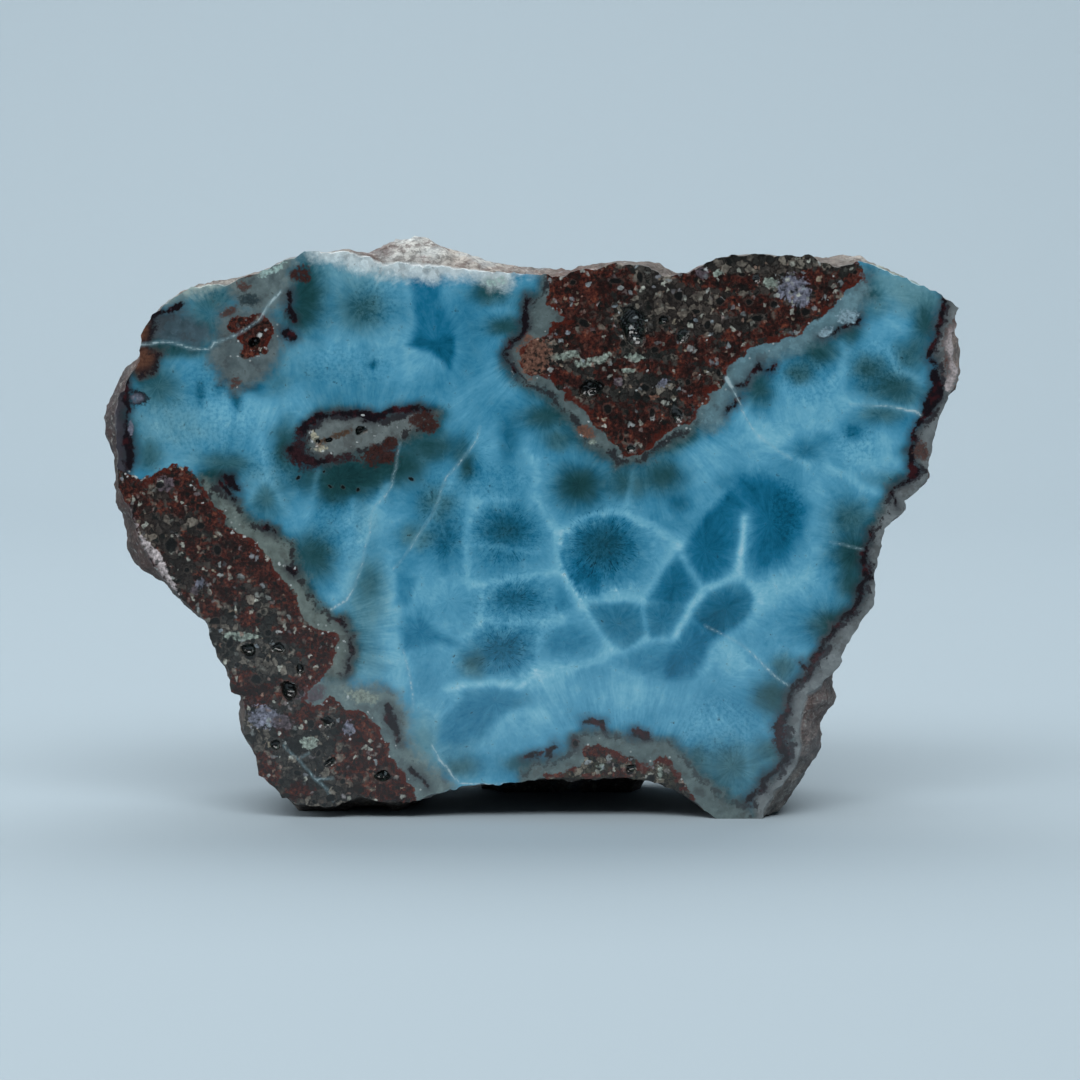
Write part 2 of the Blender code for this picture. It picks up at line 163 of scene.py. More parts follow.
puttyAreas = {  # bands between the rock and the blue: colour, how dark the blue is beside it, outline
    "upperLeft": ("#596667", 0.80, [
        (1.8, 79), (1.5, 74), (0, 73.5), (-1, 72.5), (-1, 69.2), (-3, 67), (-3.8, 65.6), (-3, 63.6),
        (-1.6, 62.2), (0, 61), (2, 60.4), (3.6, 58.6), (5.5, 56.6), (6.4, 55), (7.6, 53), (9, 52),
        (10.5, 51.5), (12, 50.5), (15, 50.8), (18, 53), (22, 55.2), (24.5, 58), (27, 62), (27, 70),
        (10, 72),
    ]),
    "upperRight": ("#5F7D86", 0.40, [
        (24, 55.2), (26, 55.7), (26.8, 57.5), (28.2, 59.6), (28.8, 61), (30.2, 62.4), (32, 64.3),
        (35, 65.8), (37.5, 66.6), (40, 68), (43, 69.4), (45, 71), (46, 73), (46.6, 76.4), (44, 77),
        (40, 72), (30, 68), (22, 57),
    ]),
    "lower": ("#68736F", 0.85, [
        (-46.5, 47.6), (-45.2, 47.2), (-43.4, 46.2), (-42.2, 44.8), (-41.2, 43.4), (-40, 42),
        (-38.6, 41.4), (-37.4, 41), (-36.2, 40.6), (-35.6, 39.5), (-34.3, 38.6), (-33.7, 37.3),
        (-33.8, 35.8), (-33.2, 34.6), (-32.2, 33), (-31.4, 31.2), (-30, 29.4), (-28.6, 28.4), (-27, 28.2),
        (-26.2, 27.2), (-25.6, 25.8), (-25.5, 24), (-26, 21.8), (-26.8, 20.2), (-29, 20.4), (-34, 28),
        (-42, 40),
    ]),
    "tail": ("#63716F", 0.15, [
        (-31, 19.8), (-28.6, 19.6), (-25.5, 18.9), (-22, 18.7), (-19.4, 17.6), (-18.2, 15), (-17.8, 11),
        (-16.6, 9.2), (-14.6, 7.4), (-12.6, 5.6), (-11.2, 4), (-17, 1), (-22, 10), (-30, 15),
        (-33.6, 15.4), (-33.4, 19),
    ]),
    "under": ("#596767", 0.70, [
        (-2.4, 3), (-1, 6.4), (0.6, 7.6), (3, 8.2), (5, 8.8), (5.6, 11.4), (7.2, 12.2), (10, 11.9),
        (13, 11.3), (16.5, 11), (19.6, 10.6), (21, 8.4), (22.6, 6.4), (25, 4.4), (27.5, 2.4), (30, 1.8),
        (31.4, -2), (24, -2),
    ]),
    "lens": ("#687070", 0.95, [
        (-31.6, 53.4), (-31.4, 55), (-30, 56.2), (-27, 56.9), (-23.4, 56.9), (-21, 56.1), (-18.6, 57),
        (-16, 57.6), (-13.6, 57), (-14.4, 55.8), (-17.4, 54.6), (-20.4, 53.2), (-23.4, 52), (-26, 51.6),
        (-28, 51.2), (-30, 50.9), (-31.3, 52),
    ]),
    "knot": ("#586263", 0.30, [
        (-45, 66), (-44, 68), (-43.2, 71.5), (-41, 72), (-37, 72), (-35.8, 69), (-35.4, 66.6),
        (-36.6, 64), (-38, 62.6), (-39.8, 61.2), (-41.8, 60.6), (-43.4, 62.2), (-44.8, 64.4),
    ]),
    "topLeft": ("#5E6A6A", 0.20, [
        (-43, 78), (-42.2, 74), (-40.6, 72), (-38.6, 71.6), (-36.6, 72), (-34.6, 73.4), (-34.2, 76),
        (-33.4, 80),
    ]),
    "dusk": ("#41535C", 0.00, [
        (-53, 67.8), (-52.8, 70.2), (-51, 71.4), (-48.6, 70.8), (-46.4, 69.6), (-45.4, 68), (-47.4, 66.8),
        (-50, 67.6),
    ]),
    "rightEdge": ("#6F7577", 0.90, [
        (57.6, 76), (57.4, 72), (56.6, 69.4), (56, 66), (56.8, 64), (57.2, 61), (56.6, 58.6),
        (55.4, 56.6), (53.8, 54.6), (53.2, 52), (54.2, 49), (52, 47.2), (50.2, 46.4), (49.6, 44.6),
        (48, 41), (47, 38), (47.2, 35), (46.6, 32), (45, 29), (42.4, 27), (41, 24), (39.6, 21.6),
        (37.6, 19.2), (36.4, 17.6), (36, 15), (36, 12), (36.4, 9.4), (35, 6.6), (33, 5.2), (31.4, 3),
        (31, -2), (66, -2), (66, 76),
    ]),
    "leftEdge": ("#413D44", 0.90, [
        (-57.1, 64), (-57.1, 59), (-57.5, 57), (-57, 54), (-57, 50.6), (-57.6, 49), (-66, 48), (-66, 64),
    ]),
    "rimOrange": ("#5C3C2E", 0.95, [
        (-60, 71), (-54.3, 71.4), (-53.4, 70), (-53.2, 68.3), (-53.7, 67.3), (-55, 67.1), (-60, 66.6),
    ]),
    "rimOrangeLow": ("#543B31", 0.90, [
        (-60, 66.2), (-54.6, 66.3), (-52.7, 66.1), (-52.8, 64.6), (-53.6, 63.1), (-54.8, 62.7),
        (-56, 63.3), (-60, 63.5),
    ]),
    "rimTop": ("#98A7A2", 0.00, [
        (-55, 71.6), (-50.6, 73.6), (-47, 74.1), (-43, 75.8), (-38, 78), (-34, 79.6), (-34, 84),
        (-60, 84),
    ]),
    "chippedTop": ("#C2CED1", 0.00, [
        (-31, 79.4), (-27, 78.6), (-23, 77.4), (-19, 76.6), (-14, 76.3), (-9.6, 76.8), (-7, 76),
        (-5, 75.2), (-3.6, 75.4), (-3.4, 77), (-1, 77.4), (2, 77.6), (2, 84), (-31, 84),
    ]),
}

# How light and how green the pectolite is, for each tone told apart, palest first
tones = {
    "milk": (0.92, 0.1), "cloud": (0.8, 0.05), "haze": (0.6, 0.1), "foam": (0.73, 0.65),
    "jade": (0.64, 1.0), "mist": (0.47, 0.7), "sky": (0.44, 0.2), "azure": (0.26, 0.35),
    "teal": (0.33, 0.9), "forest": (0.19, 1.0), "inky": (0.06, 1.0), "navy": (0.19, 0.5),
}
# Soft spots of each tone: across, up, half width, half height, turn
spots = {
    "haze": [
        (33, 25, 2.4, 3, 0), (36, 29, 3, 2.6, 0), (-39, 52.6, 3, 2, 0), (-22.4, 38.4, 3.4, 3, 0),
        (-1.4, 58.6, 1.4, 1.6, 0), (52.6, 68.4, 1.4, 1.2, 0), (54.6, 61.6, 0.9, 2.4, 0),
        (43.4, 46.6, 2.2, 1.3, 0), (-45.4, 52.4, 2, 1.1, 0), (-10, 75.6, 3, 1, 0),
        (-47.6, 63, 2.6, 2.4, 0), (37.6, 48, 1.4, 1, 0), (-4.6, 48.4, 4, 1.2, 8),
    ],
    "cloud": [
        (-40, 57.5, 7, 3, 0), (-19, 63.6, 4, 2.6, 0), (38.6, 58, 5, 2.2, 0), (46.6, 52.4, 3, 1.6, 0),
        (40, 44.4, 2, 4.6, 0), (12, 17.4, 8, 2.4, 0), (0, 13.6, 4.4, 2.4, 0), (-12, 33, 3, 1.4, 0),
        (26, 13, 6, 2.6, 0), (35, 32.4, 4.4, 1.8, 0), (24, 51.6, 5, 2, 20), (-32.6, 42.4, 2.4, 2.6, 0),
        (-15, 31.6, 3, 1.5, 0), (46.8, 67.4, 1.4, 3.4, 15), (42.8, 60.4, 1.2, 3.4, -20),
        (30.6, 56.4, 1.2, 2.6, 25), (-20.6, 33, 0.9, 3, 0), (-27, 66, 4, 2.4, 20),
        (35, 60.6, 1.8, 1.4, 0), (-8, 10.6, 2, 1.4, 0),
    ],
    "milk": [
        (-44, 57.8, 2.6, 1.2, 10), (-37.6, 57.4, 2.4, 1.4, 0), (-33.6, 59.6, 1.4, 2.2, 0),
        (28, 23.4, 3.4, 2.2, -20), (-19, 20.4, 1.8, 4, 0), (34.8, 53.6, 3.4, 1.4, -32),
        (45.8, 50.6, 3.2, 1.2, -28), (13, 31.4, 2.4, 0.9, 0),
    ],
    "foam": [
        (-23.4, 41.6, 1.6, 2.6, 0), (-15.2, 12, 1.9, 4, 12), (52.6, 73.2, 3, 1.8, -20),
        (-23.6, 22.4, 1.6, 2, 0), (-28, 77.8, 4, 1.4, 0), (-22, 30, 2.2, 3, 0), (-48, 73.5, 2.4, 0.9, 25),
        (-43.8, 75.1, 2.2, 0.8, 20), (-50, 56, 4, 2.4, 0), (-22.8, 21.6, 2.8, 1.8, 0), (-21, 77, 5, 1, 0),
        (-25.4, 75.8, 3.4, 1.1, 0),
    ],
    "jade": [
        (49.4, 75.2, 5, 2.2, -12), (54, 73.4, 3.2, 1.6, -25), (-15.6, 10.6, 1.4, 2.6, 12),
        (-49, 73.8, 2.6, 0.9, 25), (-44.6, 75.3, 2.2, 0.8, 20), (-5.2, 75.7, 2, 1, 0),
        (-24, 30, 2.4, 3.4, 0),
    ],
    "mist": [
        (49, 48, 2.8, 1.2, 0), (-23.4, 33.6, 3.2, 4.2, 0), (-23.6, 24.4, 1.8, 2.6, 0),
        (48.4, 72.2, 2.4, 0.9, -20), (-10.6, 12.4, 3.2, 2.8, 0), (-36, 61.6, 2.4, 1.6, 0),
        (28, 2, 5, 2.4, 0), (46.6, 71.4, 1.6, 1.2, 0),
    ],
    "sky": [
        (-4, 40, 5.2, 4.6, 0), (10, 38, 6, 5, 0), (40.4, 54, 1.3, 1.1, 0), (-5.8, 20.8, 2, 1, 0),
        (44.9, 61.2, 1.3, 1.4, 0), (26.4, 47.6, 2, 1.2, 30), (-27, 60.5, 5, 2, 0),
        (-8.8, 67, 1.6, 4.6, 0), (20, 41.5, 2.5, 1.2, 0), (-3, 31.4, 4.4, 2.8, 0),
        (-4.6, 24, 4.6, 3.6, 0), (-38, 66, 2, 2, 0),
    ],
    "azure": [
        (-46.6, 60, 0.6, 1.6, 0), (-41.6, 59.4, 0.6, 1.3, 20), (-43.8, 61, 0.5, 1, -20),
        (-39, 60.8, 1.5, 0.6, 0), (-12, 39.6, 2.2, 2.8, 0), (-3, 31.4, 3, 1.6, 0),
        (-4.6, 24.2, 3.2, 2.4, 0), (-5.4, 17, 4.4, 1.3, 0), (44.6, 54.6, 1.2, 1.3, 0),
        (-3.4, 53.4, 1.5, 2.8, 0), (37.8, 51.8, 2.3, 1.5, 0), (-22.5, 64.2, 0.7, 0.5, 0),
        (9.6, 38.6, 4.2, 3.6, 0), (20.4, 44.6, 1.6, 1.2, 0),
    ],
    "teal": [
        (-52.5, 61, 2.6, 2.5, 0), (-46.8, 69.4, 3, 2, 0), (-44.6, 73.2, 2.8, 1.5, 25),
        (-53.7, 51.4, 1.7, 1.9, 0), (-43, 50.4, 3.2, 1.3, -8), (-37.4, 45.4, 2.4, 2.7, 0),
        (-23.4, 33.8, 1.8, 2.2, 0), (-24, 71.6, 3, 2.6, 0), (-13.6, 44.6, 2.3, 2.3, 0),
        (-16.4, 40, 2.2, 1.7, 0), (3.5, 53.5, 2.2, 1.3, 0), (37, 62.8, 1.9, 1.4, 0),
        (46.6, 63.8, 2.1, 1.6, 0), (52.6, 65.6, 2.3, 1.9, 0), (48.4, 57.2, 2.9, 1.3, 0),
        (46.8, 74, 1.3, 0.8, 0), (44.4, 42.6, 3, 2.5, 0), (35, 21.6, 1.6, 1.7, 0), (28, 7.4, 4.6, 3.4, 0),
        (33.4, 9.6, 1.9, 1.7, 0), (22.8, 8.6, 1.5, 1.5, 0), (-10.4, 7.4, 2.5, 1.5, 0),
        (-1.8, 7.8, 2.5, 1.3, 0), (-8.6, 21.8, 1.7, 1.9, 0), (20.6, 53.4, 2.8, 1.2, 30),
    ],
    "forest": [
        (-50, 66.2, 4.2, 1, 0), (-33, 70.6, 1.9, 1.7, 0), (-34.6, 52.6, 1.7, 3.2, 0),
        (-6.2, 74.2, 2.6, 1.5, 0), (-4, 69.4, 2.5, 1.3, 0), (1.6, 56.8, 3.1, 1.8, 0),
        (-30.6, 37.2, 2.8, 3.3, 0), (-14.2, 52.4, 3.2, 2, 10), (31.2, 60.8, 2, 2.5, 0),
        (40, 66, 2.8, 1.9, 0), (44, 68.6, 1.6, 1.4, 0), (44.8, 33, 2.1, 2.1, 0), (18, 48.6, 2.9, 2.3, 0),
        (-18, 50, 2.3, 2.5, 0), (13, 47.4, 2.5, 2.1, 0), (41.6, 27.4, 2.9, 2.5, 0),
        (33.6, 17.2, 2.5, 2.5, 0), (54.4, 70, 1.6, 2.5, 0), (50.6, 60.8, 4, 2.7, -8),
    ],
    "inky": [
        (-51, 69.2, 2.9, 1.4, 0), (-20.8, 50, 2.6, 1.4, 0), (-27.4, 48.6, 4.8, 2.2, 0),
        (-31.6, 74.6, 2.1, 4.2, 0), (-27.4, 47.8, 4.2, 3, 0), (-22.6, 48.6, 2.9, 2, 0),
        (6.2, 47.2, 3.3, 2.8, 0), (-9.6, 50.6, 1.3, 2.5, 0), (45, 37.4, 3.3, 2.7, 0),
        (-44, 48.2, 2.3, 1.2, 0),
    ],
    "navy": [
        (9.4, 39.2, 2.4, 2.2, 0), (-4.2, 40.6, 3.2, 2.9, 0),
    ],
}

# Flat-looking facets of one tone: outline, softness, light, green
facets = [
    ([(-17.6, 77), (-12.8, 77), (-12.6, 73), (-11, 70), (-11, 66.4), (-11.8, 63.4), (-12.8, 64.8),
      (-14, 65.4), (-17.8, 66.8), (-16.6, 69.4), (-16.8, 73)], 0.9, 0.3, 0.05),
    ([(-17.2, 66.9), (-13.8, 65.6), (-11.8, 63.4), (-10.8, 66.2), (-11.2, 68.4), (-14.4, 67.6),
      (-16, 68.8)], 0.7, 0.17, 0.05),
    ([(20.6, 38), (24, 43.4), (27.6, 46.6), (29.8, 44.2), (29.3, 42), (28.6, 35),
      (23.6, 32.6)], 0.9, 0.18, 0.03),
    ([(29.3, 43), (27, 46.6), (28.4, 49), (32.6, 49.4), (36.8, 46.6), (38.4, 44), (37.6, 40),
      (35.2, 36.4), (31, 34.2), (28.8, 34.8)], 2.2, 0.2, 0.0),
    ([(28.8, 34.7), (31.2, 31.6), (30.4, 28.6), (27.4, 26.4), (25, 25.6), (21.8, 28.6),
      (24, 32.4)], 0.7, 0.18, 0.3),
    ([(20.1, 37.8), (23.4, 32.4), (21.4, 30.2), (15.6, 30.8), (16.6, 33.4)], 0.7, 0.16, 0.15),
    ([(6.9, 30.8), (15.2, 30.8), (15.7, 26.2), (12.6, 23.8), (11, 24.1), (8.8, 27.4)], 0.6, 0.3, 0.3),
    ([(15.4, 30.8), (16, 25.7), (19.4, 25.5), (21.8, 29), (20.6, 31)], 0.6, 0.26, 0.25),
    ([(19.8, 26), (22, 28.5), (25.6, 25.8), (24, 22.8), (22.4, 20.2), (18.6, 19.6),
      (17, 22.4)], 0.9, 0.22, 0.1),
    ([(10.6, 23.6), (19.6, 25.8), (18, 20), (12, 21.4)], 1.1, 0.42, 0.1),
    ([(3.2, 36.8), (6, 37), (9.4, 34.6), (9.4, 31.2), (7.2, 30.6), (4.4, 34)], 0.8, 0.2, 0.0),
    ([(-19, 28.8), (-15.6, 28.6), (-13, 26.2), (-9.6, 25.2), (-10.8, 24.4), (-14, 24.8),
      (-18.4, 23.6)], 0.9, 0.36, 0.05),
    ([(-19.4, 35.2), (-16.4, 34.2), (-17.6, 30.2), (-19.8, 30)], 0.7, 0.42, 0.05),
    ([(-12.8, 15.6), (-8, 18.6), (-1.4, 18.4), (-4, 14.4), (-9.4, 10.6), (-13.6, 10.6)], 1.2, 0.36, 0.1),
    ([(3.4, 27.6), (6, 27.6), (8.4, 25.4), (6, 23.6), (2.4, 22.8), (1.4, 25)], 0.9, 0.4, 0.05),
    ([(3.6, 33.6), (6.2, 30.2), (3, 28.8), (2.8, 31)], 0.7, 0.36, 0.0),
]

# Pale walls between the cells: strength, then across, up, width
walls = [
    (0.6, (3.3, 40.6, 0.2), (6, 42, 0.2), (10, 43.5, 0.4), (12, 43.4, 0.3), (16.5, 41.4, 0.5),
     (20.2, 38.8, 0.4)),
    (0.5, (20.2, 38.7, 0.4), (18, 36, 0.4), (16.3, 32.5, 0.4), (15.3, 30.7, 0.3)),
    (0.45, (15.3, 31.1, 0.3), (12, 31.6, 1), (8, 31.2, 0.5), (6.8, 30.5, 0.3)),
    (0.65, (6.8, 30.5, 0.2), (4.2, 34, 0.2), (3.2, 37, 0.2), (3.3, 40.6, 0.3)),
    (0.45, (3.3, 40.6, 0.2), (1.5, 43, 0.2), (0.3, 46, 0.2), (0.5, 50, 0.4), (-1, 52, 0.4)),
    (0.65, (3.3, 35, 0.2), (-3, 34.1, 0.2), (-7.5, 33.1, 0.2), (-9.2, 33.6, 0.2)),
    (0.5, (-9.2, 33, 0.2), (-9.6, 38, 0.3), (-9.2, 42, 0.3), (-8.4, 45, 0.3), (-4, 45.3, 0.2)),
    (0.5, (3.6, 28, 0.2), (-1, 27.9, 0.2), (-5, 27.8, 0.2), (-7.4, 28.5, 0.3)),
    (0.5, (-7.2, 33, 0.2), (-7.4, 29, 0.3), (-8.5, 26.6, 0.4), (-10, 25.5, 0.4)),
    (0.35, (0.8, 21, 0.3), (0.5, 24, 0.4), (1, 27, 0.4), (2.6, 29, 0.3)),
    (0.5, (6.8, 30.3, 0.1), (8.5, 27.5, 0.1), (10.7, 24.1, 0.2)),
    (0.3, (10.7, 24, 0.3), (12.6, 23.4, 0.4), (15.6, 25.3, 0.3)),
    (0.25, (15.3, 30.7, 0.1), (15.5, 28, 0.1), (16, 25.5, 0.2), (19.6, 25.6, 0.1)),
    (0.35, (20.2, 38.4, 0.1), (22, 35, 0.1), (23.7, 32.5, 0.2)),
    (0.7, (28.6, 34.7, 0.4), (26, 33.4, 0.4), (23.7, 32.3, 0.5), (22, 30, 0.3), (20.3, 27, 0.3),
     (19.6, 25.7, 0.3)),
    (0.9, (29.5, 42.6, 0), (29.3, 40, 0.1), (28.9, 37, 0.4), (28.5, 34.6, 0.5)),
    (0.4, (28.7, 34.6, 0.2), (30.5, 32.7, 0.2), (31.5, 31.8, 0.4)),
    (0.35, (31.5, 31.8, 0.8), (34, 32.4, 1.2), (37, 33.4, 1.2), (39, 34.6, 0.6)),
    (0.35, (31.5, 31.8, 0.6), (31, 29.5, 0.6), (30, 27.5, 0.6), (27, 25.4, 0.5), (25, 22.4, 0.4),
     (23.6, 20.6, 0.3)),
    (0.8, (0.8, 20.6, 0.3), (-2, 18.9, 0.3), (-6, 19.3, 0.2), (-10, 19, 0.2), (-12, 18.4, 0.3)),
    (0.6, (0.8, 20.6, 0.4), (5, 21.4, 0.6), (9, 22.6, 0.6), (11, 23.8, 0.4)),
    (0.35, (-10.3, 18.6, 0.2), (-11.6, 16, 0.2), (-13.4, 14.6, 0.3)),
    (0.45, (-4, 14.2, 0.4), (-1.6, 15.4, 0.4), (1, 14.8, 0.5)),
    (0.4, (-20.2, 37, 0.4), (-19.9, 33, 0.4), (-19.9, 30, 0.8), (-18.8, 28, 0.6)),
    (0.35, (-39.8, 45.4, 0.2), (-38.6, 47.6, 0.2), (-37.3, 48.2, 0.2), (-36, 46.6, 0.2),
     (-35.2, 44.6, 0.2)),
    (0.35, (-37.3, 48.2, 0.2), (-37.8, 51, 0.3), (-38.2, 54, 0.4)),
    (0.35, (41, 60.6, 0.3), (42.6, 63, 0.4), (43.4, 66, 0.4), (43, 67, 0.2)),
    (0.45, (49.4, 66, 0.2), (50.6, 63.6, 0.3), (52.6, 62.6, 0.3), (54, 61.8, 0.3)),
    (0.35, (45, 52.4, 0.4), (42, 55, 0.4), (39, 56, 0.5)),
    (0.35, (12.6, 44, 0.2), (13.6, 46.6, 0.1), (13.8, 49, 0.1)),
    (0.2, (29.8, 11.6, 0.3), (30, 8.6, 0.2), (30.2, 6.4, 0.1)),
    (0.35, (-25.2, 45, 0.1), (-26, 40, 0.3), (-26.6, 35, 0.8), (-28, 31, 0.8)),
    (0.5, (-26.6, 32, 0.8), (-25, 36, 0.6), (-23.8, 40, 0.5), (-22.4, 44, 0.5), (-20.6, 47, 0.3)),
    (0.35, (-30, 50.4, 0.1), (-30.8, 46.4, 0.2), (-31.6, 43, 0.2)),
    (0.35, (-17, 38.6, 0.2), (-14, 43.6, 0.2), (-10.6, 50, 0.2), (-8, 53.6, 0.1)),
    (0.4, (-8.4, 38.9, 0.1), (-4, 38.3, 0.1), (0.6, 37.8, 0.1)),
    (0.4, (44, 58.8, 0.1), (49, 58.5, 0.2), (53.6, 57.6, 0.3)),
    (0.55, (41.5, 49.6, 0.1), (43.4, 48.7, 0.5), (45, 47.7, 0.5), (46.6, 46.6, 0.3), (48.4, 45.8, 0.1)),
    (0.5, (28.6, 59, 0.2), (29.2, 57, 0.3), (30, 55.4, 0.4), (32, 53.5, 0.5), (35, 51.4, 0.3),
     (38.4, 50, 0.1)),
]

# Sharp fractures and veins filled white: across, up, width
veins = [
    ((-56.4, 66.2, 0.1), (-55, 66.8, 0.2), (-53, 67.1, 0.2), (-51, 67.3, 0.15), (-49.5, 67, 0.2),
     (-48.3, 66.4, 0.2), (-46.5, 66.3, 0.1), (-45.2, 66.2, 0.1), (-44.6, 67.2, 0.15), (-43, 67.6, 0.05),
     (-41.2, 68.4, 0.15)),
    ((-41.2, 68.4, 0.1), (-40, 69.1, 0.14), (-38.2, 70.4, 0.12), (-37.5, 71.4, 0.25), (-37, 72.4, 0.2),
     (-36, 73.4, 0.35), (-35.2, 74.4, 0.1)),
    ((26.8, 62.3, 0.5), (27.3, 61.4, 0.4), (27.9, 60.4, 0.15), (28.7, 58.8, 0.1), (29.4, 56.8, 0.05),
     (30.4, 55.2, 0.05), (32, 53.6, 0.05), (34, 52.1, 0), (36, 50.9, 0)),
    ((24, 27.4, 0), (28, 25.4, 0), (30, 24.1, 0.05), (32, 22.1, 0.15), (33.6, 20.4, 0.15),
     (35.8, 19, 0.1)),
    ((44, 58.6, 0), (46, 58.4, 0), (49, 58.3, 0.05), (51.5, 57.9, 0.25), (53.4, 57.5, 0.3), (54, 57, 0.1)),
    ((41.5, 39.3, 0), (43.4, 38.8, 0.05), (46.2, 38.1, 0)),
    ((-35.3, 10.4, 0), (-33.2, 8.5, 0), (-32, 7, 0.02), (-30.8, 5.6, 0.08), (-29.3, 4.4, 0.05),
     (-28.3, 2.5, 0)),
    ((-30.8, 5.6, 0.05), (-28.3, 5.8, 0)),
    ((-33.2, 8.5, 0.02), (-31.6, 9.4, 0)),
    ((-18.7, 53.2, 0.05), (-19.3, 50, 0.05), (-19.8, 47.4, 0.1), (-20.6, 46, 0.15), (-22, 44.5, 0.1),
     (-22.8, 43, 0.05), (-23, 40.5, 0.05), (-23.8, 38, 0.05), (-24.2, 35.6, 0), (-25.2, 33, 0.05),
     (-26.3, 31, 0.2), (-28.5, 29.7, 0.2)),
    ((-7.6, 55.4, 0), (-8, 53.5, 0.05), (-9.5, 51.6, 0.05), (-10.6, 50, 0.1), (-12.3, 48.3, 0.08),
     (-13, 46.4, 0.05), (-13.6, 44.5, 0), (-14.6, 42.5, 0), (-16, 40.5, 0), (-18.5, 36.6, 0),
     (-19.8, 35.4, 0)),
    ((-18.4, 24, 0), (-17.6, 21, 0.05), (-17.1, 18, 0.1), (-17, 15.6, 0)),
    ((-14.4, 10.6, 0.09), (-13.4, 8.6, 0.24), (-12, 6.8, 0.24), (-10.4, 5, 0.18)),
    ((-1.8, 5, 0.12), (-5, 4.9, 0.15), (-10.4, 5, 0.18)),
]

# Dark red and black seams and spots: across, up, width
seams = [
    ((57.1, 73.6, 0.5), (57, 72, 0.8), (56.7, 70.5, 0.5), (56, 68.5, 0.6), (55.3, 66.6, 0.5),
     (55.3, 65, 0.5), (56, 64, 0.4), (56.1, 62.4, 1.4), (56.2, 60.6, 1.7), (55.6, 59, 1.6),
     (54.8, 57.6, 1.2), (53.6, 55.6, 0.5), (53, 54.6, 0.4), (53, 53.4, 0.8), (52.6, 52, 0.4),
     (52.5, 50, 0.4), (53.3, 49.1, 0.9), (52.3, 48, 0.5), (51, 47.3, 0.3), (49.8, 46.5, 0.2),
     (50.6, 44.8, 0.4), (51, 44.2, 0.2)),
    ((47.2, 40.6, 0.3), (46.6, 38, 0.5), (46.2, 36.4, 0.9), (46.9, 34, 0.9), (45.9, 33, 0.8),
     (45.6, 31, 0.5), (44.6, 29.4, 0.5), (43, 28.2, 0.6), (41.6, 26, 0.5), (40, 23.6, 0.6),
     (39.3, 22, 0.6), (38.5, 20.4, 0.7), (37, 19.4, 0.6), (36.3, 18.7, 0.5), (36, 17.5, 0.5),
     (35.7, 16, 0.6), (35, 14.5, 1.2), (34.4, 13, 1.5), (34.6, 11.5, 1), (35.2, 10, 1), (35.7, 9, 1.1),
     (35.2, 8, 0.8), (34, 6.9, 0.5), (33.2, 6.3, 0.7), (32.3, 5.4, 0.5), (32, 4.3, 0.7), (31, 3.6, 0.6),
     (30, 2.5, 0.7)),
    ((-56.4, 62.6, 0.3), (-56.8, 60.6, 0.4), (-57.1, 59.2, 0.5), (-56.4, 57.8, 0.7), (-57, 56.6, 0.3),
     (-56.8, 55.6, 0.5), (-56.6, 54, 1.1), (-56.6, 52, 1.1), (-56.3, 50.4, 0.7), (-56.4, 49.2, 0.3)),
    ((-53.6, 71, 0.7), (-52, 71.4, 0.6), (-50.6, 71.9, 0.9), (-49.2, 72.4, 0.8), (-48.7, 72.6, 0.3)),
    ((-1, 73.4, 0.3), (-1.1, 72, 0.2), (-1.4, 70.6, 0.9), (-1.2, 69.3, 0.8), (-2.1, 68, 0.5),
     (-3.5, 66.6, 0.35), (-4.2, 65.8, 0.3), (-3.4, 64.3, 0.3), (-2.3, 62.6, 0.35)),
    ((28, 61, 0.3), (29.4, 61.4, 0.3), (30, 62.7, 0.4), (31.2, 64, 0.7), (31.6, 63.4, 0.3),
     (32.8, 63.2, 0.6), (33.4, 64, 0.2)),
    ((26.8, 57.2, 0.3), (27.4, 58.2, 0.4), (28.4, 58.8, 0.8), (28.7, 59.8, 0.3)),
    ((39.6, 68, 0.2), (42, 68.6, 0.3), (43.4, 69.6, 0.7), (45.4, 70.3, 0.5)),
    ((-33.4, 70.2, 0.6), (-34.2, 72, 0.5), (-34, 74, 0.6)),
    ((-34.6, 68.6, 1.2), (-33.6, 67.9, 0.9)),
    ((-42.8, 48, 1.4), (-41.6, 46.8, 0.8)),
    ((-44, 47.6, 0.5), (-42, 45.4, 0.5)),
    ((-20.4, 15.6, 0.9), (-20, 13.4, 1.2), (-18.8, 11, 0.5)),
    ((-17.6, 7, 0.5), (-16, 6, 0.4), (-15, 4.4, 0.3)),
    ((-1.2, 8.8, 0.8), (0.8, 9.2, 0.6)),
    ((2, 9.4, 0.9), (3.2, 10.4, 0.7)),
    ((7.2, 13.8, 0.5), (9.4, 13.6, 0.9), (10, 12.4, 0.3)),
    ((13.8, 12.2, 0.6), (15.8, 11.8, 1)),
    ((37.6, 22, 0.3), (38.4, 21.4, 0.5)),
    ((-37.6, 41.2, 0.8), (-36.4, 40.4, 0.4)),
    ((-33.6, 35, 0.9), (-34.4, 35.6, 0.4)),
    ((-27.6, 28.2, 0.3), (-26.6, 27.4, 0.4)),
    ((-25.8, 26, 0.3), (-25.6, 24, 0.5), (-26.2, 22, 0.3), (-26.6, 20.4, 0.3)),
    ((5.9, 10.7, 0.9), (5.9, 10.3, 0.8)),
    ((-31.5, 55.6, 0.5), (-29.6, 56.8, 0.6), (-27.5, 57.2, 0.5), (-24.5, 57.3, 0.9), (-22.4, 56.6, 1.1),
     (-20.4, 57.4, 0.7), (-17.4, 58, 0.8), (-14.6, 57.8, 0.7)),
    ((-33.6, 52, 1.4), (-32, 50.6, 1.2), (-29, 50.6, 0.6)),
    ((-32.4, 54.6, 0.8), (-31.6, 56, 0.6), (-29.8, 57, 0.6)),
]

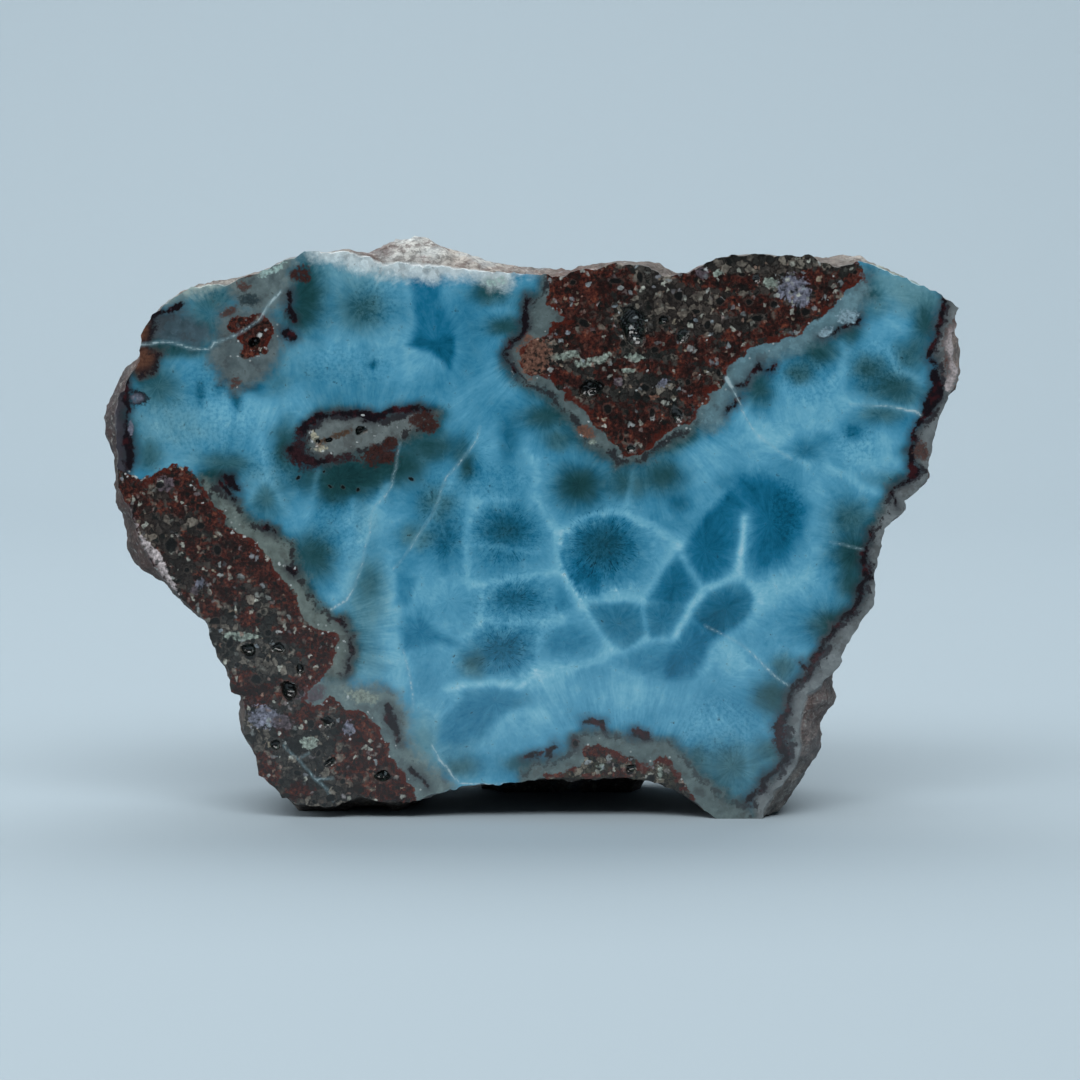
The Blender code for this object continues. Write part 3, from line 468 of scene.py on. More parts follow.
# Lilac and pale spots inside the seams: across, up, half width, half height, turn, colour
patches = [
    (-55.4, 59.5, 1.5, 1.4, 0, "ink"), (-55.4, 59.4, 0.8, 0.6, 0, "lilac"),
    (-56.3, 55.2, 0.45, 1.1, 0, "lilac"), (-54.3, 69, 1.6, 2.7, -12, "ink"),
    (-54.9, 69, 1.1, 2.2, -12, "copper"), (-54, 64.6, 1.9, 1.9, 0, "ink"),
    (-54.5, 64.9, 1.4, 1.4, 0, "copper"), (-15.6, 79, 2.6, 0.7, -10, "chalk"),
    (-32.8, 52.6, 1, 2.6, 0, "wine"), (-32.2, 50.6, 2.2, 1.1, -20, "wine"),
    (-27, 51, 2.6, 0.8, 0, "wine"), (-21.4, 51.4, 2.6, 1.6, 10, "ember"),
    (-19.9, 53, 1.0, 1.0, 0, "ember"), (-15.2, 56, 2, 1.7, 0, "ember"),
    (-32.3, 76.8, 1.6, 1.3, 0, "ember"), (-30.7, 54, 0.5, 1, 20, "cream"),
    (-30, 52.4, 1.2, 0.4, 0, "cream"), (-57.2, 41.4, 1.8, 4.6, 20, "plum"),
    # The long thin chalk streak at -52.5, 36.3 is a painted highlight along the rounded lower-left edge of
    # the face
    (-54.2, 36, 1.6, 4.6, 32, "plum"), (-52.5, 36.3, 0.55, 5.6, 32, "chalk"),
    (58.6, 66, 1.7, 4.6, 0, "umber"), (58.4, 67.4, 0.9, 2, -5, "chalk"),
    (58.9, 64.2, 0.7, 1.8, 0, "chalk"), (58, 61.4, 0.5, 1.4, -10, "chalk"),
    (43.6, 70.7, 1.6, 1, 10, "pearl"), (40.6, 68.7, 1.2, 0.6, 10, "pearl"),
    (-24.2, 17.4, 2.6, 0.9, -10, "sage"), (-38.8, 76.8, 1.8, 0.5, 20, "umber"),
    (-40.4, 75, 1, 0.8, 0, "umber"), (-39.6, 73.2, 1.8, 1, 0, "smoke"),
    (-41.5, 61.6, 0.8, 0.7, 0, "umber"), (-42.6, 71.4, 1.6, 0.6, 30, "umber"),
    (34.7, 12.4, 0.9, 2.6, 0, "wine"), (-36.6, 77.2, 2, 0.7, 20, "mint"),
    (-5.2, 75.7, 1.7, 0.8, 0, "mint"), (-29.6, 53.2, 1.0, 0.6, 20, "amber"),
    (-27.2, 54.3, 2.2, 0.45, 16, "amber"), (36.1, 74.6, 2.0, 1.9, 0, "lilac"),
    (36.9, 73.4, 1.6, 1.1, 30, "lilac"), (4.2, 65.3, 2.1, 0.55, 0, "sage"),
    (7.4, 64.5, 2.1, 0.5, 8, "sage"), (14, 65, 1.6, 0.5, 0, "sage"), (0.2, 65.2, 2.3, 2.8, 0, "salmon"),
    (9.6, 65, 1.4, 0.5, 20, "sage"), (13, 63.2, 0.9, 0.4, 0, "sage"), (-31, 17.8, 2.2, 1.2, 30, "mauve"),
    (-37.8, 14.5, 2.2, 1.7, 0, "lilac"), (-35.2, 13.8, 1.6, 0.9, 0, "mauve"),
    (-26.2, 12.8, 0.8, 1.2, 0, "lilac"), (-31.8, 10.8, 1.1, 0.9, 0, "sage"),
    (-42, 25.9, 1.8, 0.5, 0, "sage"), (-46.6, 33.4, 0.9, 0.7, 0, "lilac"),
    (-47.6, 32.4, 0.8, 0.4, 0, "mauve"), (-51.4, 47.3, 1.2, 1.0, 0, "mauve"),
    (7.3, 54.8, 1.4, 0.9, -30, "salmon"), (8.2, 53.4, 0.6, 0.4, 0, "sage"),
    (11.2, 9.2, 1.4, 0.6, -20, "rust"), (15.6, 7.8, 1.0, 0.35, 0, "rust"), (8.2, 6, 1.4, 0.5, 0, "rust"),
    (9.4, 7.4, 0.6, 0.7, 0, "sage"), (17.7, 6.6, 0.5, 1.0, 0, "sage"), (45.2, 76.2, 1.8, 0.8, 0, "rust"),
    (17.9, 61.3, 1.0, 0.5, 20, "lilac"), (16.6, 59.6, 0.9, 0.5, 0, "salmon"),
    (11.7, 61.6, 0.7, 0.5, 0, "mauve"), (32.8, 75.5, 0.9, 0.8, 0, "sage"),
    (25.6, 76.8, 0.6, 0.6, 0, "sage"), (23.4, 76.7, 0.8, 0.9, 30, "mauve"),
    (-40.2, 25.8, 1.4, 0.4, 10, "sage"), (54.2, 51.9, 1.2, 1.3, 0, "umber"),
]

# Fibres run out from these hearts: across, up, reach of the cell, how feathery its edge is
fibreHearts = [
    (-4.2, 40.4, 6, 0.6), (9.4, 39, 6, 1), (-3, 31, 4.5, 0.9), (-4.6, 24, 4.5, 1), (6.2, 47.2, 5, 0.1),
    (-24, 72.4, 5, 0.2), (-52.5, 61, 5, 0.2), (-45, 71, 5, 0.2), (-13.5, 67, 5, 0.1), (-9, 52, 4, 0.5),
    (24, 38, 5, 0.15), (33, 42, 6, 0.25), (27, 30, 4, 0.1), (19.6, 33, 3, 0.1), (11.6, 27.6, 3.5, 0.1),
    (18, 28, 3, 0.1), (21, 24, 3.5, 0.1), (45, 38, 6, 0.3), (44.4, 43.4, 4, 0.3), (41.6, 27.4, 5, 0.4),
    (33.6, 17.2, 5, 0.4), (28, 7.4, 6, 0.1), (31.6, 60.6, 4.5, 0.2), (40, 66, 4.5, 0.3),
    (45, 68.6, 3.5, 0.3), (51.4, 61.2, 5, 0.3), (48.4, 57, 3.5, 0.3), (37.8, 51.8, 4, 0.3),
    (18, 48.6, 4.5, 0.3), (13, 47.4, 3, 0.2), (1.6, 56.8, 5, 0.3), (-4.4, 69.4, 5, 0.4),
    (-6, 74.6, 3.5, 0.2), (-31.4, 37, 5, 0.2), (-37.4, 45.4, 4, 0.2), (-43, 50.4, 4.5, 0.4),
    (-27.4, 48, 5, 0.3), (-14, 44, 3.5, 0.5), (-12, 39, 3.5, 0.5), (-5.4, 16.6, 4.5, 0.2),
    (-16, 26.6, 3.5, 0.1), (-34, 72.6, 5, 0.2), (-12, 31, 2.5, 0.5), (54.4, 69, 3.5, 0.3),
]
# Broad fans whose heart lies far off: the area that they fill, then the heart
fibreFans = [
    ([(-1, 14), (-1, 20), (8, 22), (18, 20), (26, 20), (29, 14), (24, 10), (14, 11.5), (4, 12.5)], (13, -4)),
    ([(-47, 51.6), (-56, 55), (-50, 58), (-42, 60), (-35, 59), (-35, 54.6), (-39, 51.4)], (-45, 38)),
    ([(-34, 57.4), (-34, 61), (-26, 63), (-16, 61.5), (-11, 58), (-15, 57.4), (-24, 57)], (-24, 45)),
    ([(-26, 29), (-26, 37), (-21, 37), (-18, 30), (-19, 20), (-25, 20)], (-36, 26)),
    ([(-32, 38), (-33, 45), (-24, 46), (-21, 40), (-24, 36)], (-42, 30)),
    ([(-13, 45), (-9, 45), (-8, 56), (0, 62), (-6, 66), (-12, 60)], (2, 68)),
    ([(14, 52), (26, 58), (30, 50), (22, 42), (16, 42)], (13, 62)),
    ([(33, 62), (42, 68), (48, 74), (54, 74), (46, 66), (38, 56), (32, 56)], (30, 76)),
    ([(39, 33), (38, 47), (40, 50), (42, 46), (42, 36)], (54, 38)),
    ([(26, 19), (22, 14), (26, 10), (36, 12), (34, 20), (30, 22)], (22.5, 20.5)),
    ([(-22, 20), (-14, 24), (-11, 14), (-12, 8), (-14, 10), (-14.5, 18)], (-20, 6)),
]

pits = [  # across, up, half width, half height, turn, depth, all millimetres
    (13.9, 69.3, 1.9, 3, 12, 1.7), (8.0, 60.6, 1.6, 1.25, 10, 1.4), (-38.9, 67.1, 0.9, 0.9, 0, 1.3),
    (-24.2, 54.9, 0.9, 0.6, 25, 1.0), (18, 70.1, 0.8, 0.6, 0, 0.7), (-40.2, 24, 1.0, 0.9, 0, 0.8),
    (-34.4, 18.3, 0.9, 1.3, 10, 1.0), (-21.4, 6.1, 1.2, 0.7, 10, 0.9), (-28.7, 53.6, 0.5, 0.4, 0, 0.6),
    (-30.2, 53.2, 0.5, 0.35, 0, 0.6), (19.8, 57, 0.7, 1.1, 0, 0.5), (20.8, 68.2, 0.7, 1.0, 0, 0.5),
    (13.6, 52.4, 0.7, 0.4, 0, 0.5), (-35.9, 24.2, 0.8, 0.7, 0, 0.6), (-32.8, 21.4, 0.7, 0.7, 0, 0.5),
    (-28.8, 8.2, 0.6, 0.4, 0, 0.5), (13.7, 7.3, 0.6, 0.6, 0, 0.5), (-36.6, 10.7, 0.8, 0.7, 0, 0.5),
    (-50.3, 40.4, 0.4, 0.3, 0, 0.4), (-29, 13.8, 0.7, 0.6, 0, 0.4), (30.8, 75.8, 0.6, 0.5, 0, 0.4),
]


blueGround = {  # the pectolite before anything is drawn on it; light and green both run from 0 to 1
    "light": 0.62,
    "drift": 0.26,  # how far a slow noise moves the light
    "green": 0.08,
    "greener": 0.32,  # added towards the upper left
    "wallLight": 0.92,
    "darkLight": 0.08,  # beside the grey-green bands
    "darkGreen": 0.95,
    "firm": {"pale": 0.7, "dark": 0.92},  # how much of a pale or a dark tone covers the ground
}


def readBlue(flat, wobble):  # how light and how green the pectolite is at each place
    light = blueGround["light"] + blueGround["drift"] * wobble[:, 2]
    left, high = ease(-8, -30, flat[:, 0]), ease(40, 54, flat[:, 1])
    green = blueGround["green"] + blueGround["greener"] * left * high
    rough = flat + wobble[:, :2]
    for tone, (lightness, greenness) in tones.items():
        firm = blueGround["firm"]["pale" if lightness > 0.4 else "dark"]
        for spot in spots[tone]:
            weight = firm * np.exp(-0.8 * (spotDistance(rough, spot) / 1.1) ** 2.3)
            light += (lightness - light) * weight
            green += (greenness - green) * weight
    for outline, softness, lightness, greenness in facets:
        weight = ease(-softness * 0.7, softness, outlineDistance(flat + wobble[:, :2] * 0.5, outline)) * 0.92
        light += (lightness - light) * weight
        green += (greenness - green) * weight
    for strength, *path in walls:
        away = np.maximum(pathDistance(flat + wobble[:, :2] * 0.4, path), 0)
        weight = strength * (0.7 * np.exp(-(away / 0.5) ** 1.6) + 0.4 * np.exp(-(away / 1.7) ** 1.6))
        light += (blueGround["wallLight"] - light) * np.minimum(weight, 1)
        green *= 1 - 0.6 * np.minimum(weight, 1)
    dark = np.zeros(len(flat))
    for _, strength, area in puttyAreas.values():
        if strength:
            away = np.maximum(-outlineDistance(rough, area), 0) / (1.4 + 1.2 * wobble[:, 2])
            dark = np.maximum(dark, strength * np.exp(-away ** 2))
    light += (blueGround["darkLight"] - light) * dark
    green += (blueGround["darkGreen"] - green) * dark
    return light, green


def tint(points, spots, first):  # tones that run into each other: one to start with, then spots over it
    colour = np.tile(linear(stoneTones[first])[:3], (len(points), 1))
    for *spot, name in spots:
        weight = ease(1.25, 0.6, spotDistance(points, spot))[:, None]
        colour += (np.array(linear(stoneTones[name])[:3]) - colour) * weight
    return colour


def opaque(colour):
    return np.column_stack([colour, np.ones(len(colour))])


def readPattern(points):  # rows of across, behind the face, up; gives a value for each point and name
    behind = points[:, 1]
    drift = np.stack([cloud(points, 9.0, 3.1), cloud(points, 9.0, 7.7)], 1)
    drift = drift * np.minimum(behind, 20)[:, None] * 0.5  # the pattern wanders off behind the face
    flat = points[:, [0, 2]] + drift
    wobble = np.stack([
        cloud(points, 1.7, 1.3) * 0.45, cloud(points, 1.7, 5.9) * 0.45, cloud(points, 6.0, 2.2)], 1)
    rough = flat + wobble[:, :2]
    found = {}
    found["rock"] = np.max([outlineDistance(rough, area) for area in rockAreas.values()], axis=0)
    away = np.array([outlineDistance(rough, area) for _, _, area in puttyAreas.values()])
    share = np.exp(np.clip(away - away.max(axis=0), -12, 0) * 1.5)
    bands = np.array([linear(colour)[:3] for colour, _, _ in puttyAreas.values()])
    found["putty"] = away.max(axis=0)
    rind = np.array([strength for _, strength, _ in puttyAreas.values()]) ** 2
    found["puttyColour"] = np.column_stack([share.T @ bands, share.T @ rind]) / share.sum(axis=0)[:, None]
    found["rockColour"] = opaque(tint(rough, rockZones, "slate"))
    found["crustColour"] = opaque(tint(rough, crustZones, "drab"))
    found["red"] = np.max([1.3 - spotDistance(rough, zone) for zone in redZones], axis=0)
    found["seam"] = -np.min([pathDistance(rough, path) for path in seams], axis=0)
    found["vein"] = -np.min([pathDistance(flat + wobble[:, :2] * 0.3, path) for path in veins], axis=0)
    found["gasHole"] = 1 - np.min([spotDistance(rough, hole) for hole in gasHoles], axis=0)
    found["glint"] = 1 - np.min([spotDistance(rough, (x, z, r, r * 0.8, 0)) for x, z, r in glints], axis=0)

    nearest = np.full(len(points), 1e9)
    unit = np.zeros((len(points), 2))
    fibre = np.zeros((len(points), 3))
    featherShare = np.full(len(points), 0.2)
    for x, z, reach, feathery in fibreHearts:
        away = flat - (x, z)
        far = np.linalg.norm(away, axis=1)
        closer = far - reach < nearest
        nearest[closer] = (far - reach)[closer]
        unit[closer] = (away / np.maximum(far, 0.01)[:, None])[closer]
        fibre[closer] = np.column_stack([unit * reach, far * 0.3])[closer]
        featherShare[closer] = feathery
    for area, heart in fibreFans:
        inside = outlineDistance(flat, area) > 0
        away = flat - heart
        far = np.linalg.norm(away, axis=1)
        middle = far[inside].mean() if inside.any() else 1
        unit[inside] = (away / far[:, None])[inside]
        fibre[inside] = np.column_stack([away / far[:, None] * middle, far * 0.16])[inside]
        featherShare[inside] = 0.3
    found["fibre"] = fibre
    found["light"], found["green"] = readBlue(flat, wobble)
    outward, inward = readBlue(flat + unit * 0.5, wobble)[0], readBlue(flat - unit * 0.5, wobble)[0]
    ring = np.clip(1 + nearest / 5.5, 0, 1)  # 0 at a heart, 1 at the edge of its cell
    found["fleck"] = featherShare * np.exp(-((ring - 0.55) / 0.4) ** 2) * (nearest < 0.5)
    change = np.clip(outward - inward, -0.3, 0.3)  # of light along a fibre, for each mm
    found["feather"] = change * featherShare
    found["pit"] = 1 - np.min([spotDistance(rough, pit) for pit in pits], axis=0)

    accent = np.zeros((len(points), 4))
    for *spot, name in patches:
        tone, cover = patchColours[name]
        weight = ease(1.55, 0.45, spotDistance(rough, spot))
        accent += (np.array([*linear(tone)[:3], 1.0]) * cover - accent) * weight[:, None]
    accent[:, :3] /= np.maximum(accent[:, 3:], 1e-4)
    found["accent"] = accent
    found["dimple"] = np.max([ease(1.35, 0.6, spotDistance(rough, zone)) for zone in dimples], axis=0)
    return found


# Tones of the basalt and of the weathered rind, a few for the whole stone, and a dark brown that paints the
# shade along the foot of the sides
stoneTones = {
    "rust": "#352520", "slate": "#2E302E", "brown": "#38322F", "grey": "#383A38", "olive": "#3E3E2E",
    "plum": "#403839", "shadeBrown": "#3D3C37", "umber": "#4C4644", "copper": "#553F36", "mauve": "#6C605D",
    "drab": "#6E6864", "stone": "#7B7974", "clay": "#897B74", "ash": "#8C8782", "jade": "#8C9890",
    "sand": "#A19C95", "chalk": "#B4B6B3",
}
# Where they lie, and where the basalt is stained red: across, up, half width, half height, turn
rockZones = [
    (6, 72, 6, 6, 0, "rust"), (13, 72, 3, 4, 0, "slate"), (24, 73, 9, 5, 0, "brown"),
    (34, 74, 6, 4, 0, "brown"), (14, 62, 7, 4, 0, "slate"), (12, 55, 6, 3.5, 0, "rust"),
    (-54, 44, 5, 4, -20, "rust"), (-50, 42, 4, 3, -30, "brown"), (-48.5, 36, 4, 4, 0, "brown"),
    (-42, 34, 5, 5, 0, "brown"), (-40, 24, 5, 5, 0, "grey"), (-35, 26, 4, 4, 0, "grey"),
    (-37, 9, 6, 5, 0, "slate"), (-30, 6, 5, 5, 0, "grey"), (-24, 7, 4, 4, 0, "rust"),
    (-55, 37, 3.4, 8, 25, "rust"), (8, 6, 8, 3.4, 0, "olive"), (17, 6.6, 4, 3, 0, "olive"),
    (-40, 69, 4, 4, 0, "rust"),
]
redZones = [
    (6, 74.6, 4.2, 3.4, 0), (9.5, 75.6, 3, 2, 0), (4.5, 70, 3.4, 2, 0), (8, 67.2, 3, 2.6, 0),
    (4.2, 62.3, 3, 0.9, -20), (18.5, 67.4, 3.6, 1.2, 0), (11, 56.4, 3.6, 2, -30), (15, 55.4, 3, 3, 0),
    (18, 54.4, 2.6, 2.4, 40), (22.5, 60.5, 2, 2.4, 0), (23, 66, 2.6, 1.6, 0), (27.8, 68, 1.5, 0.9, 0),
    (27, 65.4, 2.4, 1, 30), (33, 69, 4, 0.9, 20), (39.5, 72.8, 3.4, 1.2, 40), (45, 75.9, 1.6, 1.1, 0),
    (39, 76, 3, 1.2, 0), (12.6, 75, 1.4, 2, 0), (20, 63.4, 2.4, 1, 0), (25, 75.6, 2, 1.2, 0),
    (-56.5, 45.6, 2.6, 2.2, 0), (-50.6, 48.6, 2.6, 1.6, 0), (-48, 45, 3.6, 1.4, -40),
    (-44.4, 42, 3, 1.6, -40), (-42.6, 40, 2, 2, 0), (-40.4, 38, 3.4, 1.6, -40),
    (-37.4, 34.4, 3, 1.6, -45), (-35, 31, 2.6, 1.4, -50), (-33, 26.2, 3, 1.6, -20),
    (-30, 24.6, 2.6, 1.8, 0), (-29.4, 22, 1.8, 2.4, 0), (-33, 19.2, 4, 1.2, 25),
    (-38.8, 17.4, 3.4, 1.6, 10), (-40.8, 19, 1.6, 2, 0), (-29.6, 16.6, 2.4, 1.2, 20),
    (-32, 14.4, 2.4, 1.2, 0), (-25, 12, 2, 3, 20), (-22.6, 9.4, 2.6, 3, 0), (-20, 4.6, 3, 2.4, 0),
    (-26, 8, 2, 2, 0), (-38, 6.6, 1.6, 2.6, 0), (-35.6, 13, 1, 1, 0), (-33, 4, 1.6, 1, 0),
    (-57.4, 41, 2, 4, 20), (-54, 34.4, 2.2, 4.4, 32), (-46.6, 30.4, 2.6, 1.2, -30),
    (-43.6, 37.4, 2, 1.6, 0), (-40, 28.4, 1.6, 1.2, 0), (8.6, 9.6, 2.6, 0.7, 0), (3, 6.4, 1.6, 0.5, 0),
    (11.8, 9.1, 1.6, 0.5, -30), (17.6, 8.4, 1.8, 0.4, 0), (12, 6, 1.6, 1, 0), (-40.2, 69.4, 2.4, 1.6, 0),
    (-38.2, 68.4, 1.4, 2, 0), (-40, 66.4, 1.8, 1, 0), (14, 64, 4, 0.8, 0), (10.4, 63, 1.6, 1.6, 0),
    (30, 72.6, 4, 1.2, 0), (35, 71, 3, 1, 20), (22, 76.4, 2, 1, 0), (28.4, 75.8, 2.6, 0.9, 0),
    (-44, 33, 3, 1.8, -30), (-41, 35.6, 2.4, 1.4, 0), (-50, 44, 2.6, 1, 0), (-47.6, 38.6, 2, 1.4, -40),
]
crustZones = [
    (-60, 58, 5, 10, 0, "plum"), (-57, 40, 6, 12, 0, "rust"), (-56, 68, 5, 5, 0, "copper"),
    (-46, 76, 9, 3, 20, "stone"), (-36, 80, 5, 2.4, 10, "mauve"), (-26, 80, 6, 2.6, 0, "stone"),
    (-15, 81, 7, 3, 0, "chalk"), (-22.6, 81, 3.6, 2.4, 0, "mauve"), (-6, 80, 7, 3, 0, "sand"),
    (4, 79, 6, 3, 0, "clay"), (16, 79, 9, 3, 0, "ash"), (30, 80, 9, 3, 0, "ash"),
    (41, 79, 7, 3, 0, "sand"), (52, 77, 7, 3, 0, "jade"), (60, 66, 4, 8, 0, "clay"),
    (56, 50, 5, 9, 0, "mauve"), (48, 32, 6, 9, 0, "mauve"), (42, 14, 6, 9, 0, "mauve"),
    # Painted shade: the dark browns on the lower left flank and along the foot of the sides, where the stone
    # nears the floor
    (34, 3, 6, 4, 0, "drab"), (-46, 20, 5, 14, 0, "umber"), (-36, 3, 12, 4, 0, "shadeBrown"),
    (8, 3, 18, 3, 0, "shadeBrown"),
]

# Small gas holes that show only as colour, their hollows painted near black as shade, and white crystal faces
gasHoles = [
    (17.9, 70.1, 0.8, 0.7, 0), (20.8, 68.1, 0.9, 0.9, 0), (19.9, 56.8, 0.8, 1.0, 0),
    (13.6, 52.3, 0.75, 0.5, -20), (14.8, 76.3, 0.5, 0.9, 10), (25.9, 73.0, 0.8, 0.5, 0),
    (37.9, 71.5, 0.8, 0.7, 0), (10.3, 58, 0.5, 0.5, 0), (15.5, 61, 0.7, 0.5, 0), (25.7, 63, 0.4, 0.7, 0),
    (31, 70.5, 0.9, 0.5, 0), (11.4, 75.8, 0.8, 0.5, 0), (7, 69.8, 0.6, 0.5, 0), (22.6, 71.6, 0.6, 0.4, 0),
    (29.8, 72.8, 0.5, 0.4, 0), (33.4, 72.4, 0.5, 0.6, 0), (12.2, 67, 0.4, 0.6, 0),
    (5.4, 75.6, 0.5, 0.4, 0), (21.4, 61.6, 0.4, 0.5, 0), (16.8, 66.2, 0.5, 0.4, 0),
    (16.4, 57.4, 0.4, 0.5, 0), (12.6, 53.6, 0.3, 0.4, 0), (29, 76.6, 0.6, 0.4, 0),
    (20.2, 73.6, 0.6, 0.6, 0), (24.2, 69.6, 0.5, 0.5, 0), (-50.8, 38.7, 0.9, 1.1, 0),
    (-35.9, 24.2, 0.95, 0.8, 0), (-40.1, 23.6, 1.0, 1.1, 20), (-32.8, 21.2, 0.8, 0.75, 0),
    (-39.0, 19.8, 0.9, 0.65, 0), (-34.4, 17.9, 0.8, 1.3, 15), (-36.6, 10.7, 0.75, 0.85, 0),
    (-28.8, 13.7, 0.7, 0.7, 0), (-28.9, 8.1, 0.75, 0.5, -10), (-30.3, 9.3, 0.3, 0.5, 0),
    (-21.2, 6.1, 1.2, 0.75, 10), (-28.6, 2.9, 0.8, 0.5, 30), (-44.7, 28, 0.8, 0.6, 0),
    (-42.6, 25, 0.4, 0.9, 0), (-52.2, 47.3, 0.5, 0.45, 0), (-48.6, 35.2, 0.5, 0.4, 0),
    (-41.8, 21.9, 0.5, 0.5, 0), (-37.5, 26.3, 0.5, 0.5, 0), (-37.2, 22.6, 0.3, 0.4, 0),
    (-44.4, 38, 0.5, 0.7, 0), (-38.4, 29, 0.5, 0.4, 0), (-46.8, 41.6, 0.6, 0.5, 0),
    (-31.4, 13.6, 0.5, 0.4, 0), (-33.4, 6.4, 0.5, 0.6, 0), (-26.8, 5.4, 0.4, 0.4, 0),
    (-39.4, 4.8, 0.6, 0.4, 0), (-24.4, 9.6, 0.3, 0.4, 0), (-30.8, 2.4, 0.6, 0.4, 0),
    (13.6, 6.8, 0.5, 0.7, 0), (9.6, 5.4, 0.8, 0.3, 0), (5.9, 10.5, 0.45, 0.45, 0),
    (16.4, 5.6, 0.6, 0.8, 0), (11.6, 7.6, 0.4, 0.3, 0), (44.6, 76.9, 0.4, 0.4, 0),
    (-26.8, 47.2, 0.35, 0.25, 0), (-28.4, 46.9, 0.3, 0.25, 0), (-32.8, 48.3, 0.3, 0.3, 0),
    (-17.2, 48, 0.3, 0.3, 0), (-29.4, 49, 0.25, 0.25, 0), (-24.6, 46.6, 0.3, 0.25, 0),
]
glints = [
    (-48, 47.1, 0.5), (-47.4, 46.5, 0.5), (-46.4, 44.8, 0.35), (-43.1, 43.4, 0.3), (-42.2, 40.6, 0.55),
    (-40.5, 40.1, 0.45), (-38.7, 38, 0.4), (-38.9, 39.2, 0.3), (-35.8, 36.2, 0.5), (-35.1, 36.0, 0.55),
    (-33.5, 35.4, 0.35), (-37.5, 36.7, 0.3), (-31.2, 27.5, 0.4), (-29.4, 26.3, 0.45), (-28.7, 26.5, 0.35),
    (-26.6, 25.2, 0.45), (-26.8, 24, 0.35), (-36.0, 26.4, 0.6), (-26.3, 17.1, 0.45), (-25.4, 17.0, 0.3),
    (-23.3, 15.2, 0.4), (-22.7, 14.6, 0.3), (-19.3, 10.3, 0.35), (-25.9, 11.2, 0.4), (-28.6, 11.6, 0.35),
    (-31.3, 27.0, 0.3), (-34.6, 16.5, 0.35), (-33.9, 17.8, 0.25), (-34.0, 19.3, 0.3), (-30.0, 13.2, 0.35),
    (-27, 55.6, 0.3), (-25.6, 52.6, 0.35), (-21.6, 55.6, 0.35), (-19.2, 55, 0.35), (-28.8, 55.4, 0.3),
    (-23.6, 55.6, 0.3), (-24.6, 53.4, 0.3), (-17, 56.8, 0.3), (-20.9, 6.3, 0.4), (-57.0, 48.2, 0.45),
    (-55.6, 48.3, 0.4), (-54.8, 48.0, 0.4), (-51.0, 44.0, 0.3), (-48.9, 44.2, 0.3), (-43.4, 41.5, 0.25),
    (-24.0, 56.9, 0.3), (-18.7, 55.8, 0.4), (-17.9, 56.2, 0.3), (-22.4, 54.3, 0.4), (-22.6, 53.7, 0.4),
    (-31.2, 54.6, 0.5), (-31.3, 53.3, 0.5), (-30.8, 52.1, 0.4), (-29.4, 52.1, 0.4), (-28.4, 51.9, 0.3),
    (-20.8, 55.4, 0.3), (-38.1, 68.1, 0.55), (-41.5, 65.4, 0.35), (-38.4, 65.3, 0.3), (-37.4, 66.4, 0.3),
    (-41.4, 64.4, 0.25), (-41.2, 61.1, 0.3), (14.3, 70.6, 0.5), (13.9, 69.2, 0.6), (14.4, 67.8, 0.5),
    (15.6, 70.2, 0.3), (15.7, 71.4, 0.3), (24.3, 68.1, 0.4), (24.1, 67.4, 0.3), (14.2, 60.4, 0.4),
    (16.8, 59.5, 0.4), (15.9, 63.2, 0.45), (28.4, 72.4, 0.4), (10.9, 70.4, 0.35), (6.4, 54.3, 0.35),
    (7.6, 56.2, 0.3), (8.1, 53.2, 0.3), (7.2, 53.6, 0.3), (-3.2, 63.1, 0.35), (-3.0, 62.5, 0.3),
    (16.6, 61.2, 0.3), (11.9, 71.4, 0.3), (24.0, 63.0, 0.35), (23.2, 62.6, 0.3), (23.2, 58.4, 0.3),
    (33.6, 76.6, 0.3), (41.8, 76.4, 0.35), (24.0, 77.4, 0.5),
]

patchColours = {  # colour, and how much it covers
    "lilac": ("#676A78", 1), "mauve": ("#50484E", 1), "rust": ("#45211A", 1), "wine": ("#2A171B", 0.9),
    "amber": ("#4A382B", 1), "sage": ("#7A867E", 1), "salmon": ("#66483C", 1), "ink": ("#16141A", 1),
    "smoke": ("#29373C", 0.97), "mint": ("#8FA9A6", 0.9), "ember": ("#351C18", 0.95),
    "cream": ("#A6A38F", 1), "plum": ("#3C2C2D", 0.75), "chalk": ("#A8A1A2", 1),
    "umber": ("#493632", 0.9), "pearl": ("#7E98A4", 1), "copper": ("#5A3C2F", 1),
}
# Where the blue is dimpled with small dark flecks: across, up, half width, half height, turn
dimples = [
    (-46, 56, 9, 5, 0), (-36, 50, 5, 3, 0), (-26, 64, 7, 3, 0), (-22, 73, 4, 4, 0), (-6, 47.6, 6, 3, 0),
    (-13, 43, 4, 7, 0), (-4, 40, 6, 5, 0), (-3, 29, 7, 7, 0), (9, 38, 6, 5, 0), (35.4, 44, 2.4, 5, 0),
    (-27, 41, 5, 5, 0), (48, 64, 5, 4, 0), (26, 13, 6, 5, 0), (38, 62, 5, 4, 0), (45, 53, 4, 3, 0),
    (-44, 62, 5, 3, 0),
]


# Mesh of the stone

def keepShell(cad):  # the rough sides and back, without the polished face and what hollows it
    shell = bmesh.new()
    shell.from_mesh(cad.data)
    bmesh.ops.remove_doubles(shell, verts=shell.verts, dist=1e-6)
    front = min(v.co.y for v in shell.verts)
    flat = [f for f in shell.faces if all(v.co.y < front + 1e-6 for v in f.verts)]
    bmesh.ops.delete(shell, geom=flat, context="FACES")
    islands, seen = [], set()
    for face in shell.faces:
        if face in seen:
            continue
        island, queue = [], [face]
        seen.add(face)
        while queue:
            here = queue.pop()
            island.append(here)
            for edge in here.edges:
                for other in edge.link_faces:
                    if other not in seen:
                        seen.add(other)
                        queue.append(other)
        islands.append(island)
    largest = max(islands, key=len)
    spare = [face for island in islands if island is not largest for face in island]
    bmesh.ops.delete(shell, geom=spare, context="FACES")
    loose = [v for v in shell.verts if not v.link_faces]
    bmesh.ops.delete(shell, geom=loose, context="VERTS")
    return shell, front


